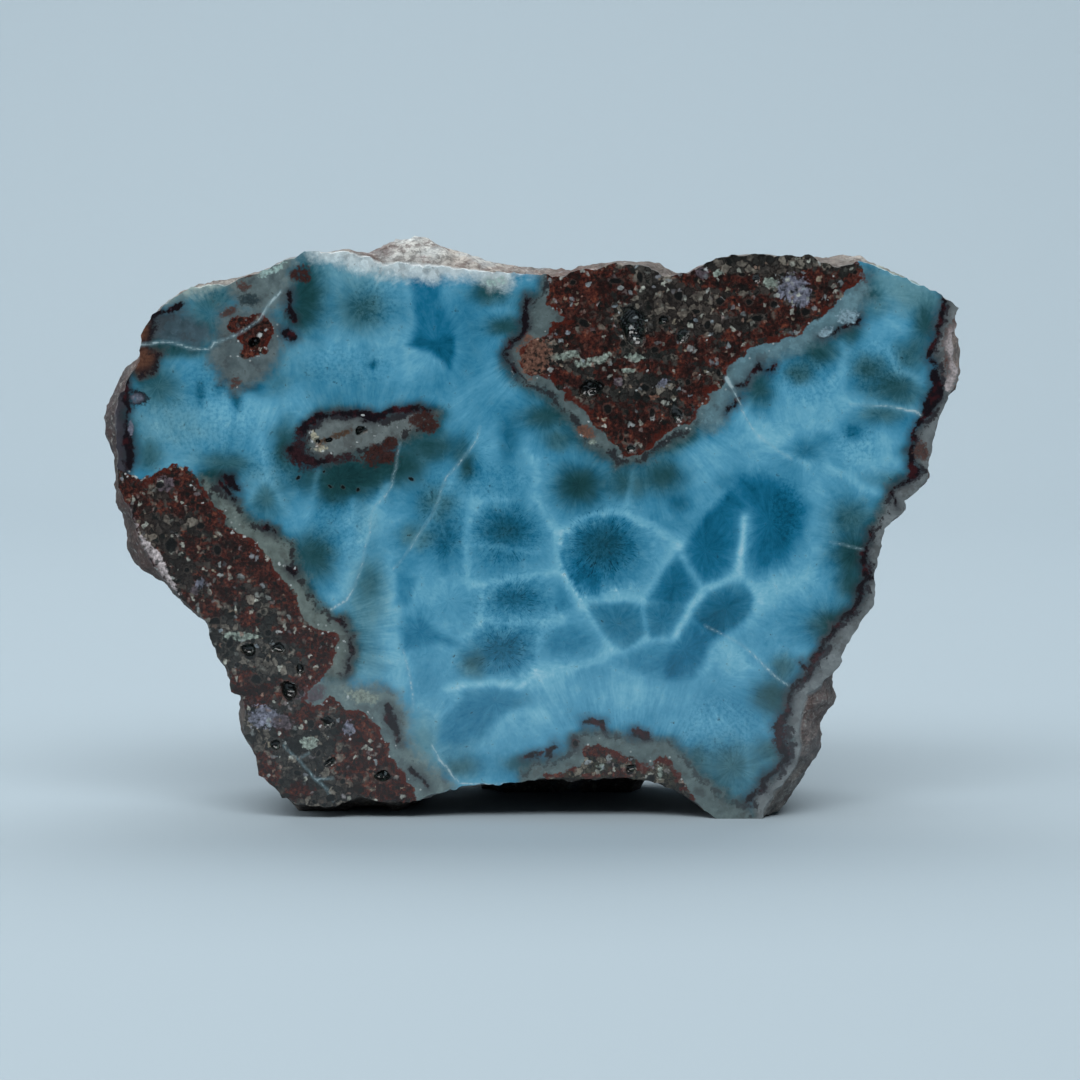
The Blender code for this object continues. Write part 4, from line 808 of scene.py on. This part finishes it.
def orderedRim(shell):  # the points of the open edge, in order
    edges = [e for e in shell.edges if e.is_boundary]
    links = {}
    for e in edges:
        for v in e.verts:
            links.setdefault(v, []).append(e.other_vert(v))
    start = edges[0].verts[0]
    rim, last, here = [start], None, start
    while True:
        onward = [v for v in links[here] if v is not last][0]
        if onward is start:
            return rim
        rim.append(onward)
        last, here = here, onward


def facePoints(outline):  # scattered points inside the sawn edge, closer together at the pits
    step = stone["faceStep"]
    xs = np.arange(outline[:, 0].min(), outline[:, 0].max(), step)
    zs = np.arange(outline[:, 1].min(), outline[:, 1].max(), step * 0.866)
    grid = np.array([(x + 0.5 * step * (k % 2), z) for k, z in enumerate(zs) for x in xs])
    fine = []
    for x, z, rx, rz, *_ in pits:
        reach = max(rx, rz) * 1.3
        side = np.arange(-reach, reach, stone["pitStep"])
        fine += [(x + a, z + b) for a in side for b in side]
    fine = np.array(fine)
    nearPit = np.min([spotDistance(grid, pit) for pit in pits], axis=0) < 1.3
    fine = fine[np.min([spotDistance(fine, pit) for pit in pits], axis=0) < 1.25]
    points = np.vstack([grid[~nearPit], fine])
    points += np.random.default_rng(stone["seed"]).uniform(-0.15, 0.15, points.shape) * stone["pitStep"]
    return points[outlineDistance(points, [tuple(p) for p in outline]) > 0.3 * step]


def soften(shell, times):  # the broken sides, without their open edge and what stands on the shelf
    moving = [v for v in shell.verts if not v.is_boundary and v.co.z > stone["shelf"]]
    for _ in range(times):
        bmesh.ops.smooth_vert(
            shell, verts=moving, factor=0.5, use_axis_x=True, use_axis_y=True, use_axis_z=True)


def noiseSum(place, parts):  # the sum of noises of several sizes
    return sum(share * noise.noise(place / size) for share, size in parts)


def buildStone(cad):
    shell, front = keepShell(cad)
    soften(shell, 2)
    bmesh.ops.subdivide_edges(shell, edges=shell.edges, cuts=stone["shellCuts"], use_grid_fill=True)
    bmesh.ops.triangulate(shell, faces=[f for f in shell.faces if len(f.verts) > 3])
    soften(shell, 1)
    shell.normal_update()

    for v in shell.verts:  # broken, granular relief that fades in behind the sawn edge
        p = v.co * 1000
        chip = stone["edgeChip"]
        if v.is_boundary:
            side = Vector((9, 9, 9))
            coarse, middling, fine = stone["nibbles"]
            v.co.x += chip * noiseSum(p, stone["nibbles"]) / 1000
            upward = noise.noise(p / coarse[1] + side) + noise.noise(p / middling[1] + side)
            v.co.z += (v.co.z > stone["shelf"]) * chip * (upward + noiseSum(p, [fine])) / 1000
            continue
        if v.co.z < stone["shelf"]:
            continue
        grainDepth, grainSize = stone["grains"]
        creaseDepth, creaseSize = stone["wrinkles"]
        lumps = noiseSum(p, stone["lumps"])
        nearest, _ = noise.voronoi(p / grainSize)
        grains = grainDepth * (nearest[0] - 0.4) + creaseDepth * abs(noise.noise(p / creaseSize))
        depth = min((v.co.y - front) * 1000 / stone["reliefStart"], 1.0)
        low = min(v.co.z * 1000 / 1.0, 1.0)
        v.co -= v.normal * (grains - lumps) * depth * low / 1000
        v.co.z = max(v.co.z, 0.0)
    for across, up, size, reach in stone["bulges"]:
        middle = Vector((*fromSheet(across, up),))
        for v in shell.verts:
            away = math.hypot(v.co.x - middle.x, v.co.z - middle.y) * 1000 / size
            if away < 3:
                v.co.x += math.copysign(1, across) * reach * math.exp(-away * away) / 1000
    across, size, rise = stone["crest"]
    start, fade = stone["topFade"]
    for v in shell.verts:
        here, up = toSheet(v.co)
        share = min(max((up - start) / fade, 0), 1)
        v.co.z += share * (stone["topRise"] + rise * math.exp(-((here - across) / size) ** 2)) / 1000

    rim = orderedRim(shell)
    outline = np.array([toSheet(v.co) for v in rim])
    inner = facePoints(outline)
    flat = [Vector(p) for p in outline] + [Vector(p) for p in inner]
    _, _, triangles, origins, _, _ = delaunay_2d_cdt(flat, [], [list(range(len(rim)))], 1, 1e-7)

    lifted = np.column_stack([inner[:, 0], np.zeros(len(inner)), inner[:, 1]])
    bent = inner + 0.45 * np.column_stack([cloud(lifted, 1.7, 1.3), cloud(lifted, 1.7, 5.9)])
    depth = np.zeros(len(inner))
    for pit in pits:
        hollow = np.sqrt(np.maximum(1 - spotDistance(bent, pit) ** 2, 0)) * pit[5]
        depth = np.maximum(depth, hollow)
    verts = list(rim)
    for (across, up), deep in zip(inner, depth):
        x, z = fromSheet(across, up)
        rough = 1 + 0.25 * noise.noise(Vector((across, up, 0)) / 0.5)  # the floor of a pit is uneven
        verts.append(shell.verts.new((x, front + deep * rough / 1000, z)))
    for corners in triangles:
        face = shell.faces.new([verts[origins[k][0]] for k in corners])
        face.material_index = 0
    bmesh.ops.recalc_face_normals(shell, faces=shell.faces)
    for face in shell.faces:
        face.smooth = True
    for edge in shell.edges:
        if len(edge.link_faces) == 2 and edge.calc_face_angle() > math.radians(stone["hardEdge"]):
            edge.smooth = max(v.co.y for v in edge.verts) > front + 1e-5
    mesh = bpy.data.meshes.new("larimarStone")
    shell.to_mesh(mesh)
    shell.free()
    piece = bpy.data.objects.new("larimarStone", mesh)
    bpy.context.scene.collection.objects.link(piece)
    return piece, front


def storePattern(piece, front):
    mesh = piece.data
    coords = np.zeros(len(mesh.vertices) * 3)
    mesh.vertices.foreach_get("co", coords)
    coords = coords.reshape(-1, 3)
    behind = (coords[:, 1] - front) * 1000
    points = np.column_stack([
        coords[:, 0] * 1000 / sheet["scale"] - sheet["shift"], behind, coords[:, 2] * 1000 / sheet["scale"]])
    normals = np.zeros(len(mesh.vertices) * 3)
    mesh.vertices.foreach_get("normal", normals)
    normals = normals.reshape(-1, 3)
    found = readPattern(points)
    onFace = (behind < 0.02) | ((behind < 2.2) & (found["pit"] > -0.1) & (normals[:, 1] < 0.2))
    found["polish"] = onFace.astype(float)
    kinds = {1: ("FLOAT", "value"), 3: ("FLOAT_VECTOR", "vector"), 4: ("FLOAT_COLOR", "color")}
    for name, values in found.items():
        kind, field = kinds[1 if values.ndim == 1 else values.shape[1]]
        mesh.attributes.new(name, kind, "POINT").data.foreach_set(field, values.ravel())


bakeMap = {  # places in the bake's square, which is 1 wide
    "backSize": 0.3,
    "sidesLeft": 0.32,
    "sidesWidth": 0.67,
    "above": 0.69,  # the back and the sides lie above this, the face below
    "rowStep": 0.155,  # the sides lie in two rows
    "rowHeight": 0.145,
    "directions": 361,  # a round of the outline is measured at this many
    "thin": 97,  # from every 97th corner
}


def unwrap(piece):  # the face, the back and a strip round the sides, each flat in the bake's square
    mesh = piece.data
    coords = np.zeros(len(mesh.vertices) * 3)
    mesh.vertices.foreach_get("co", coords)
    corner = np.zeros(len(mesh.loops), int)
    mesh.loops.foreach_get("vertex_index", corner)
    normals = np.zeros(len(mesh.polygons) * 3)
    mesh.polygons.foreach_get("normal", normals)
    at = coords.reshape(-1, 3)[corner]  # three corners to each face
    low, high = at.min(axis=0), at.max(axis=0)
    width, depth = high[0] - low[0], high[1] - low[1]
    away = normals.reshape(-1, 3)[:, 1].repeat(3)
    polished = np.zeros(len(mesh.vertices))
    mesh.attributes["polish"].data.foreach_get("value", polished)
    onFace = polished[corner].reshape(-1, 3).min(axis=1).repeat(3) > 0.5

    middle = (low + high) / 2
    angle = np.arctan2(at[:, 2] - middle[2], at[:, 0] - middle[0])
    centre = at.reshape(-1, 3, 3).mean(axis=1).repeat(3, axis=0)
    centreAngle = np.arctan2(centre[:, 2] - middle[2], centre[:, 0] - middle[0])
    angle = centreAngle + (angle - centreAngle + math.pi) % (2 * math.pi) - math.pi
    table = np.linspace(-math.pi, math.pi, bakeMap["directions"])
    few = slice(None, None, bakeMap["thin"])
    nearest = np.abs(angle[few, None] - table[None, :]).argmin(axis=1)
    radius = np.zeros(len(table))
    np.maximum.at(radius, nearest, np.hypot(at[few, 0] - middle[0], at[few, 2] - middle[2]))
    radius = np.interp(table, table[radius > 0], radius[radius > 0])
    ring = np.column_stack([radius * np.cos(table), radius * np.sin(table)])
    length = np.concatenate([[0], np.cumsum(np.linalg.norm(np.diff(ring, axis=0), axis=1))])
    turns = np.floor((angle + math.pi) / (2 * math.pi))
    along = (np.interp(angle - turns * 2 * math.pi, table, length) / length[-1] + turns) * 2
    row = np.clip(np.floor(np.interp(centreAngle, table, length) / length[-1] * 2), 0, 1)

    u = (at[:, 0] - low[0]) / width
    v = (at[:, 2] - low[2]) / width
    onBack = (away > 0.6) & ~onFace
    onSide = ~onFace & ~onBack
    u[onBack] = bakeMap["backSize"] * (1 - u[onBack])
    v[onBack] = bakeMap["above"] + bakeMap["backSize"] * v[onBack]
    u[onSide] = bakeMap["sidesLeft"] + bakeMap["sidesWidth"] * (along - row)[onSide]
    upward = bakeMap["rowHeight"] * ((at[:, 1] - low[1]) / depth)[onSide]
    v[onSide] = bakeMap["above"] + bakeMap["rowStep"] * row[onSide] + upward
    layer = mesh.uv_layers.new(name="OFBake")
    layer.data.foreach_set("uv", np.column_stack([u, v]).ravel())


# Materials

def add(tree, kind, inputs, out=0, stops=(), **settings):  # a node with its settings and links
    node = tree.nodes.new("ShaderNode" + kind)
    for name, value in settings.items():
        setattr(node, name, value)
    for place, value in inputs.items():
        if isinstance(value, bpy.types.NodeSocket):
            tree.links.new(value, node.inputs[place])
        else:
            node.inputs[place].default_value = value
    for _ in stops[2:]:
        node.color_ramp.elements.new(0.5)
    for k, (place, colour) in enumerate(stops):
        node.color_ramp.elements[k].position = place
        node.color_ramp.elements[k].color = linear(colour)
    return node.outputs[out]


def newMaterial(name):
    material = bpy.data.materials.new(name)
    material.use_nodes = True
    return material, material.node_tree, material.node_tree.nodes["Principled BSDF"]


larimarLook = {
    "blue": [(0.0, "#003D55"), (0.14, "#00536F"), (0.3, "#146B8E"), (0.5, "#3986A7"), (0.68, "#569EBD"),
             (0.85, "#78B9D0"), (1.0, "#A8D2E0")],
    "green": [(0.0, "#0C3033"), (0.14, "#184246"), (0.3, "#2A565F"), (0.5, "#4A7A86"), (0.7, "#6A9AA6"),
              (1.0, "#9DC2C8")],
    "fibreWidth": 0.32,  # mm, the finest bundles of fibres that show
    "bundleWidth": 1.2,  # mm, the coarse ones
    "swirlSize": 0.9,  # mm, the eddies that bend the grains
    "fleckDepth": -0.38,  # how much darker the flecks along the fibres are
    "dimpleDepth": -0.13,  # how much darker the dimples are
}
basaltLook = {
    "clasts": [(0.0, "#0A0908"), (0.25, "#171513"), (0.5, "#2C2926"), (0.7, "#403C38"),
               (0.83, "#5A544D"), (1.0, "#8A8479")],
    "stain": [(0.28, "#0D0504"), (0.44, "#28100C"), (0.56, "#411B14"), (0.72, "#633524")],
    "paleGrains": [(0.0, "#8A8474"), (0.3, "#7C6358"), (0.55, "#76828A"), (0.8, "#A3A79E")],
    "darkGrains": [(0.0, "#050606"), (0.6, "#0B1210")],
    "clastSize": 1.15,  # mm, rounded lumps in the basalt
    "grainSize": 0.75,  # mm between the small grains
    "sparkleSize": 0.55,  # mm, drusy crystals along the bands
    "crackSize": 2.8,  # mm between the fine cracks of the broken sides
    "crackShare": 0.38,  # how much they darken
}
# The edges of the drawn shapes: how far three noises move each, in mm (small, mottled, along the fibres)
edges = {
    "putty": (0.3, 0.45, 0.25), "vein": (0.08, 0, 0), "seam": (0.25, 0.32, 0.05), "rock": (0.2, 0.3, 0),
    "red": (0.3, 0.5, 0), "gasHole": (0.26, 0.2, 0), "glint": (0.42, 0.1, 0), "pit": (0.04, 0, 0),
    "green": (0, 0.1, 0.02), "light": (0.035, 0.05, 0.05),
}


# Pectolite and basalt, sawn and polished: a wet-looking face, matt and paler where it is broken
def larimarMaterial():
    material, tree, shader = newMaterial("polishedAndBrokenLarimar")
    place = add(tree, "TexCoord", {}, "Object")
    mm = add(tree, "VectorMath", {0: place, 3: 1000.0}, operation="SCALE")
    fibre = add(tree, "Attribute", {}, "Vector", attribute_name="fibre")
    noises = {}
    for name, (vector, size, detail, rough) in {  # size in mm, detail, roughness
        "fine": (fibre, larimarLook["fibreWidth"], 2, 0.6),
        "bundle": (fibre, larimarLook["bundleWidth"], 2, 0.5),
        "small": (mm, 0.5, 3, 0.6),
        "mottle": (mm, 1.6, 4, 0.6),
        "large": (mm, 6, 3, 0.5),
        "lump": (mm, 2.4, 4, 0.65),
    }.items():
        noises[name] = add(
            tree, "TexNoise", {"Vector": vector, "Scale": 1 / size, "Detail": detail, "Roughness": rough},
            normalize=False)  # about 0
    eddies = 1 / larimarLook["swirlSize"]
    swirl = add(tree, "TexNoise", {"Vector": mm, "Scale": eddies, "Detail": 3}, "Color", normalize=False)
    bent = add(tree, "VectorMath", {0: swirl, 1: (0.4, 0.4, 0.4), 2: mm}, operation="MULTIPLY_ADD")

    value = {}
    for name, amounts in edges.items():
        value[name] = add(tree, "Attribute", {}, "Fac", attribute_name=name)
        for kind, amount in zip(("small", "mottle", "fine"), amounts):
            if amount:
                value[name] = add(
                    tree, "Math", {0: noises[kind], 1: amount, 2: value[name]}, operation="MULTIPLY_ADD")
    tone = {name: add(tree, "Attribute", {}, "Color", attribute_name=name)
            for name in ("puttyColour", "rockColour", "crustColour", "accent")}
    polish = add(tree, "Attribute", {}, "Fac", attribute_name="polish")
    patch = add(tree, "Attribute", {}, "Alpha", attribute_name="accent")
    feather = add(tree, "Attribute", {}, "Fac", attribute_name="feather")

    def fade(mask, low, high, strength=1.0):  # from 0 to the strength while the mask goes from low to high
        return add(
            tree, "MapRange", {"Value": mask, "From Min": low, "From Max": high, "To Max": strength},
            interpolation_type="SMOOTHSTEP")

    def layer(under, mask, low, high, strength, over):  # lays a colour over another where the mask is high
        share = fade(mask, low, high, strength)
        return add(tree, "Mix", {0: share, 6: under, 7: over}, 2, data_type="RGBA")

    def shaded(colour, mask, amount, middle=1.0):  # a colour made lighter and darker by a noise
        factor = add(tree, "Math", {0: mask, 1: amount, 2: middle}, operation="MULTIPLY_ADD")
        return add(tree, "Mix", {0: 1.0, 6: colour, 7: factor}, 2, data_type="RGBA", blend_type="MULTIPLY")

    # Blue pectolite: its light value slides along the fibres where it changes
    slide = add(tree, "Math", {0: noises["fine"], 1: 0.5, 2: 0.0}, operation="MULTIPLY_ADD")
    slide = add(tree, "Math", {0: noises["mottle"], 1: 0.7, 2: slide}, operation="MULTIPLY_ADD")
    light = add(tree, "Math", {0: feather, 1: slide, 2: value["light"]}, operation="MULTIPLY_ADD")
    light = add(tree, "Math", {0: noises["bundle"], 1: 0.07, 2: light}, operation="MULTIPLY_ADD")
    fleck = fade(noises["fine"], 0.1, 0.8)
    flecked = add(tree, "Attribute", {}, "Fac", attribute_name="fleck")
    fleck = add(tree, "Math", {0: fleck, 1: flecked}, operation="MULTIPLY")
    light = add(tree, "Math", {0: fleck, 1: larimarLook["fleckDepth"], 2: light}, operation="MULTIPLY_ADD")
    dimple = fade(noises["small"], -0.3, 0.5)
    dimpled = add(tree, "Attribute", {}, "Fac", attribute_name="dimple")
    dimple = add(tree, "Math", {0: dimple, 1: dimpled}, operation="MULTIPLY")
    light = add(tree, "Math", {0: dimple, 1: larimarLook["dimpleDepth"], 2: light}, operation="MULTIPLY_ADD")
    blue = add(tree, "ValToRGB", {0: light}, stops=larimarLook["blue"])
    greenish = add(tree, "ValToRGB", {0: light}, stops=larimarLook["green"])
    colour = layer(blue, value["green"], 0.0, 1.0, 1.0, greenish)

    # Grey-green bands, white veins and dark seams
    putty = shaded(tone["puttyColour"], noises["mottle"], 0.3)
    paler = shaded(tone["puttyColour"], noises["small"], 0.4, 1.5)
    putty = layer(putty, noises["lump"], 0.15, 0.55, 0.5, paler)
    putty = layer(putty, noises["lump"], -0.2, -0.6, 0.35, linear("#3A3230"))
    colour = layer(colour, value["putty"], -1.7, 0.8, 0.92, putty)
    rind = add(tree, "Attribute", {}, "Alpha", attribute_name="puttyColour")  # how dark the band's outline is
    for low, high in ((-0.9, -0.1), (0.75, 0.15)):
        band = fade(value["putty"], low, high)
        rind = add(tree, "Math", {0: rind, 1: band}, operation="MULTIPLY")
    patchy = fade(noises["lump"], -0.4, 0.3)
    rind = add(tree, "Math", {0: rind, 1: patchy}, operation="MULTIPLY")
    colour = layer(colour, rind, 0.05, 0.7, 0.85, linear("#1D151A"))
    seamTone = layer(linear("#130D13"), noises["lump"], 0.05, 0.55, 0.9, linear("#351519"))
    colour = layer(colour, value["seam"], -1.5, 0.2, 0.6, linear("#2A2A31"))
    colour = layer(colour, value["seam"], -0.25, 0.15, 1.0, seamTone)

    # Basalt: dark lumps in a rust-stained paste, with pale and black grains
    size = 1 / basaltLook["clastSize"]
    lump = add(tree, "SeparateColor", {0: add(tree, "TexVoronoi", {"Vector": bent, "Scale": size}, "Color")})
    paste = add(tree, "TexVoronoi", {"Vector": bent, "Scale": size}, "Distance", feature="DISTANCE_TO_EDGE")
    pick = add(tree, "Math", {0: noises["small"], 1: 0.14, 2: lump}, operation="MULTIPLY_ADD")
    rock = add(tree, "ValToRGB", {0: pick}, stops=basaltLook["clasts"])
    rock = add(tree, "Mix", {0: 0.42, 6: rock, 7: tone["rockColour"]}, 2, data_type="RGBA")
    rock = layer(rock, paste, 0.12, 0.0, 0.8, linear("#120C0A"))
    stained = add(tree, "Math", {0: paste, 1: -1.5, 2: value["red"]}, operation="MULTIPLY_ADD")
    rust = add(tree, "Math", {0: noises["lump"], 1: 0.14, 2: 0.48}, operation="MULTIPLY_ADD")
    rust = add(tree, "Math", {0: noises["small"], 1: 0.16, 2: rust}, operation="MULTIPLY_ADD")
    rust = add(tree, "ValToRGB", {0: rust}, stops=basaltLook["stain"])
    rock = layer(rock, stained, -0.35, 0.25, 0.92, rust)
    ragged = add(tree, "Math", {0: noises["small"], 1: 0.45, 2: patch}, operation="MULTIPLY_ADD")
    ragged = add(tree, "Math", {0: noises["mottle"], 1: 0.4, 2: ragged}, operation="MULTIPLY_ADD")
    rock = layer(rock, ragged, 0.4, 0.75, 0.9, shaded(tone["accent"], noises["small"], 0.7))
    grain = 1 / basaltLook["grainSize"]
    far = add(tree, "TexVoronoi", {"Vector": bent, "Scale": grain}, "Distance")
    grains = add(tree, "TexVoronoi", {"Vector": bent, "Scale": grain}, "Color")
    first = add(tree, "SeparateColor", {0: grains}, 0)
    second = add(tree, "SeparateColor", {0: grains}, 1)
    paleTone = add(tree, "ValToRGB", {0: second}, stops=basaltLook["paleGrains"])
    darkTone = add(tree, "ValToRGB", {0: second}, stops=basaltLook["darkGrains"])
    paleTone = shaded(paleTone, noises["small"], 0.4)
    for low, high, strength, over in ((0.76, 0.96, 0.8, paleTone), (0.32, 0.12, 0.85, darkTone)):
        chosen = fade(first, low, high, strength)
        core = fade(far, 0.6, 0.3)
        share = add(tree, "Math", {0: chosen, 1: core}, operation="MULTIPLY")
        rock = add(tree, "Mix", {0: share, 6: rock, 7: over}, 2, data_type="RGBA")
    rock = shaded(rock, noises["lump"], 0.4)
    rock = shaded(rock, noises["small"], 0.35)
    rimmed = add(tree, "Math", {0: noises["lump"], 1: 1.3, 2: value["rock"]}, operation="MULTIPLY_ADD")
    rim = layer(rock, rimmed, 0.7, 0.1, 0.8, shaded(linear("#4C1A10"), noises["small"], 0.4))
    colour = layer(colour, value["rock"], -0.1, 0.12, 1.0, rim)

    # Patches off the basalt, gas holes, open pits and crystal faces
    off = fade(value["rock"], 0.2, -0.2)
    offPatch = add(tree, "Math", {0: ragged, 1: off}, operation="MULTIPLY")
    colour = layer(colour, offPatch, 0.3, 0.95, 0.95, shaded(tone["accent"], noises["small"], 0.6))
    colour = layer(colour, value["vein"], -0.4, 0.05, 0.25, linear("#8DB3BF"))
    colour = layer(colour, value["vein"], -0.1, 0.08, 0.7, linear("#B2C8CE"))
    colour = layer(colour, value["gasHole"], -0.6, -0.05, 0.22, linear("#57504A"))
    # The hollow of each gas hole is painted near black as shade
    colour = layer(colour, value["gasHole"], -0.12, 0.2, 0.95, linear("#070A0A"))
    # Open pits: near black painted shade inside the hollows, mottled with the dark green-grey of their lining
    inner = layer(linear("#070A0A"), noises["small"], 0.1, 0.5, 1.0, linear("#2A3733"))
    colour = layer(colour, value["pit"], -0.05, 0.2, 1.0, inner)
    shine = fade(value["glint"], 0.25, 0.7, 0.75)
    sparkle = 1 / basaltLook["sparkleSize"]
    druse = add(tree, "TexVoronoi", {"Vector": mm, "Scale": sparkle}, "Distance")
    drusePick = add(tree, "TexVoronoi", {"Vector": mm, "Scale": sparkle}, "Color")
    drusePick = add(tree, "SeparateColor", {0: drusePick})
    stray = fade(drusePick, 0.9, 0.95, 0.6)
    for mask, low, high in ((druse, 0.36, 0.2), (value["rock"], -1.6, -0.2), (value["rock"], 0.8, 0.0)):
        stray = add(tree, "Math", {0: stray, 1: fade(mask, low, high)}, operation="MULTIPLY")
    shine = add(tree, "Math", {0: shine, 1: stray}, operation="MAXIMUM")
    colour = add(tree, "Mix", {0: shine, 6: colour, 7: linear("#C9D0D0")}, 2, data_type="RGBA")

    # Broken sides: weathered crust, with dull blue and basalt showing through
    crust = shaded(tone["crustColour"], noises["mottle"], 0.45)
    crust = layer(crust, noises["small"], 0.1, 0.7, 0.5, linear("#ABACA7"))
    crust = layer(crust, noises["lump"], 0.1, 0.5, 0.6, linear("#432A24"))
    crust = layer(crust, noises["lump"], -0.2, -0.6, 0.5, linear("#2C2A29"))
    through = add(tree, "Mix", {0: 0.55, 6: colour, 7: crust}, 2, data_type="RGBA")
    crust = layer(crust, noises["large"], -0.1, 0.5, 0.7, through)
    buried = add(tree, "Math", {0: noises["lump"], 1: 2.0, 2: value["rock"]}, operation="MULTIPLY_ADD")
    dusty = add(tree, "Mix", {0: 0.4, 6: rock, 7: linear("#584A43")}, 2, data_type="RGBA")
    crust = layer(crust, buried, -1.0, 1.0, 0.7, dusty)
    size = 1 / basaltLook["crackSize"]
    cracks = add(tree, "TexVoronoi", {"Vector": bent, "Scale": size}, "Distance", feature="DISTANCE_TO_EDGE")
    crust = layer(crust, cracks, 0.07, 0.0, basaltLook["crackShare"], linear("#241B19"))
    colour = add(tree, "Mix", {0: polish, 6: crust, 7: colour}, 2, data_type="RGBA")
    tree.links.new(colour, shader.inputs["Base Color"])

    # Wet shine on the polished face, a little less on the basalt; dry and rough where it is broken
    gloss = add(tree, "MapRange", {
        "Value": value["rock"], "From Min": -0.1, "From Max": 0.2, "To Min": 0.15, "To Max": 0.25})
    gloss = add(tree, "Math", {0: noises["small"], 1: 0.03, 2: gloss}, operation="MULTIPLY_ADD")
    gloss = add(tree, "Mix", {0: polish, 2: 0.8, 3: gloss}, 0, data_type="FLOAT")
    tree.links.new(gloss, shader.inputs["Roughness"])
    shader.inputs["IOR"].default_value = 1.6
    height = add(tree, "Math", {0: noises["small"], 1: 0.6, 2: noises["mottle"]}, operation="MULTIPLY_ADD")
    relief = add(tree, "Mix", {0: polish, 2: 0.25, 3: 0.006}, 0, data_type="FLOAT")
    relief = add(tree, "Math", {0: height, 1: relief}, operation="MULTIPLY")
    bump = add(tree, "Bump", {"Height": relief, "Strength": 0.7, "Distance": 0.0008})
    tree.links.new(bump, shader.inputs["Normal"])
    return material


stonePiece, faceDepth = buildStone(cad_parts["larimar_slab"])
storePattern(stonePiece, faceDepth)
stonePiece.data.materials.append(larimarMaterial())
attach(stonePiece, "root")
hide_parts("larimar_slab")
unwrap(stonePiece)
print("stone built:", len(stonePiece.data.polygons), "faces")


# Studio

studio = {
    "lens": 150,  # mm
    "sensor": 36,  # mm
    "elevation": 6.0,  # degrees that the camera looks down
    "aim": (0.84, 39.5),  # sheet mm at the middle of the picture
    "sweepStart": 420,  # mm behind the face where the floor begins to rise
    "sweepRadius": 300,  # mm
    "floorHalfWidth": 1500,  # mm
    "floorFront": -190,  # mm, where the floor ends in front of the face
    "wallTop": 1500,  # mm
    "paper": "#9EADB6",
    "air": ("#C4D2DC", 0.08),  # light from all round: colour and strength
    "lights": {  # place, aim and size in metres, watts
        "topLight": ((0, 0.05, 0.75), (0, 0.05, 0), (1.1, 0.9), 1.0),
        "topBackLight": ((0, 0.4, 0.7), (0, 0.05, 0), (1.2, 0.5), 5.0),
        "frontLight": ((0, -0.6, 0.75), (0, 0, 0.04), (0.9, 0.4), 8.0),
        "leftLight": ((-0.7, -0.15, 0.3), (0, 0, 0.04), (0.5, 0.5), 1.9),
        "wallLight": ((0, 0.35, 0.7), (0, 0.75, 0.2), (1.2, 0.4), 1.1),
    },
}


def buildBackdrop():  # one sheet of pale paper: flat floor, then a sweep up behind
    profile = [(studio["floorFront"], 0.0), (studio["sweepStart"], 0.0)]
    radius = studio["sweepRadius"]
    for k in range(1, 25):
        turn = math.radians(90 * k / 24)
        profile.append((studio["sweepStart"] + radius * math.sin(turn), radius * (1 - math.cos(turn))))
    profile.append((studio["sweepStart"] + radius, studio["wallTop"]))
    mesh = bpy.data.meshes.new("backdrop")
    half = studio["floorHalfWidth"]
    verts = [(side * half / 1000, (faceDepth * 1000 + y) / 1000, z / 1000)
             for y, z in profile for side in (-1, 1)]
    faces = [(2 * k, 2 * k + 1, 2 * k + 3, 2 * k + 2) for k in range(len(profile) - 1)]
    mesh.from_pydata(verts, [], faces)
    for face in mesh.polygons:
        face.use_smooth = True
    piece = bpy.data.objects.new("backdrop", mesh)
    bpy.context.scene.collection.objects.link(piece)
    material, tree, shader = newMaterial("mattPaper")  # matt card, no gloss to speak of
    shader.inputs["Base Color"].default_value = linear(studio["paper"])
    shader.inputs["Roughness"].default_value = 0.9
    shader.inputs["Specular IOR Level"].default_value = 0.2
    mesh.materials.append(material)


def softLight(name, place, target, size, power):
    lamp = bpy.data.lights.new(name, "AREA")
    lamp.shape = "RECTANGLE"
    lamp.size, lamp.size_y = size
    lamp.energy = power
    piece = bpy.data.objects.new(name, lamp)
    piece.location = place
    piece.rotation_euler = (Vector(target) - Vector(place)).to_track_quat("-Z", "Y").to_euler()
    bpy.context.scene.collection.objects.link(piece)


def buildStudio():
    buildBackdrop()
    for name, values in studio["lights"].items():
        softLight(name, *values)
    air, strength = studio["air"]
    world = bpy.data.worlds.new("studioAir")
    world.use_nodes = True
    world.node_tree.nodes["Background"].inputs["Color"].default_value = linear(air)
    world.node_tree.nodes["Background"].inputs["Strength"].default_value = strength
    bpy.context.scene.world = world
    bpy.context.scene.view_settings.view_transform = "Standard"

    camera = bpy.data.cameras.new("camera")
    camera.lens = studio["lens"]
    camera.sensor_width = studio["sensor"]
    camera.clip_end = 10
    across, up = fromSheet(*studio["aim"])
    frameWidth = sheet["photoSize"] * sheet["photoPixel"] * sheet["scale"] / 1000
    reach = frameWidth * studio["lens"] / studio["sensor"]
    turn = math.radians(studio["elevation"])
    eye = Vector((across, faceDepth - reach * math.cos(turn), up + reach * math.sin(turn)))
    piece = bpy.data.objects.new("camera", camera)
    piece.location = eye
    piece.rotation_euler = (Vector((across, faceDepth, up)) - eye).to_track_quat("-Z", "Y").to_euler()
    bpy.context.scene.collection.objects.link(piece)
    bpy.context.scene.camera = piece


buildStudio()
print("studio built")
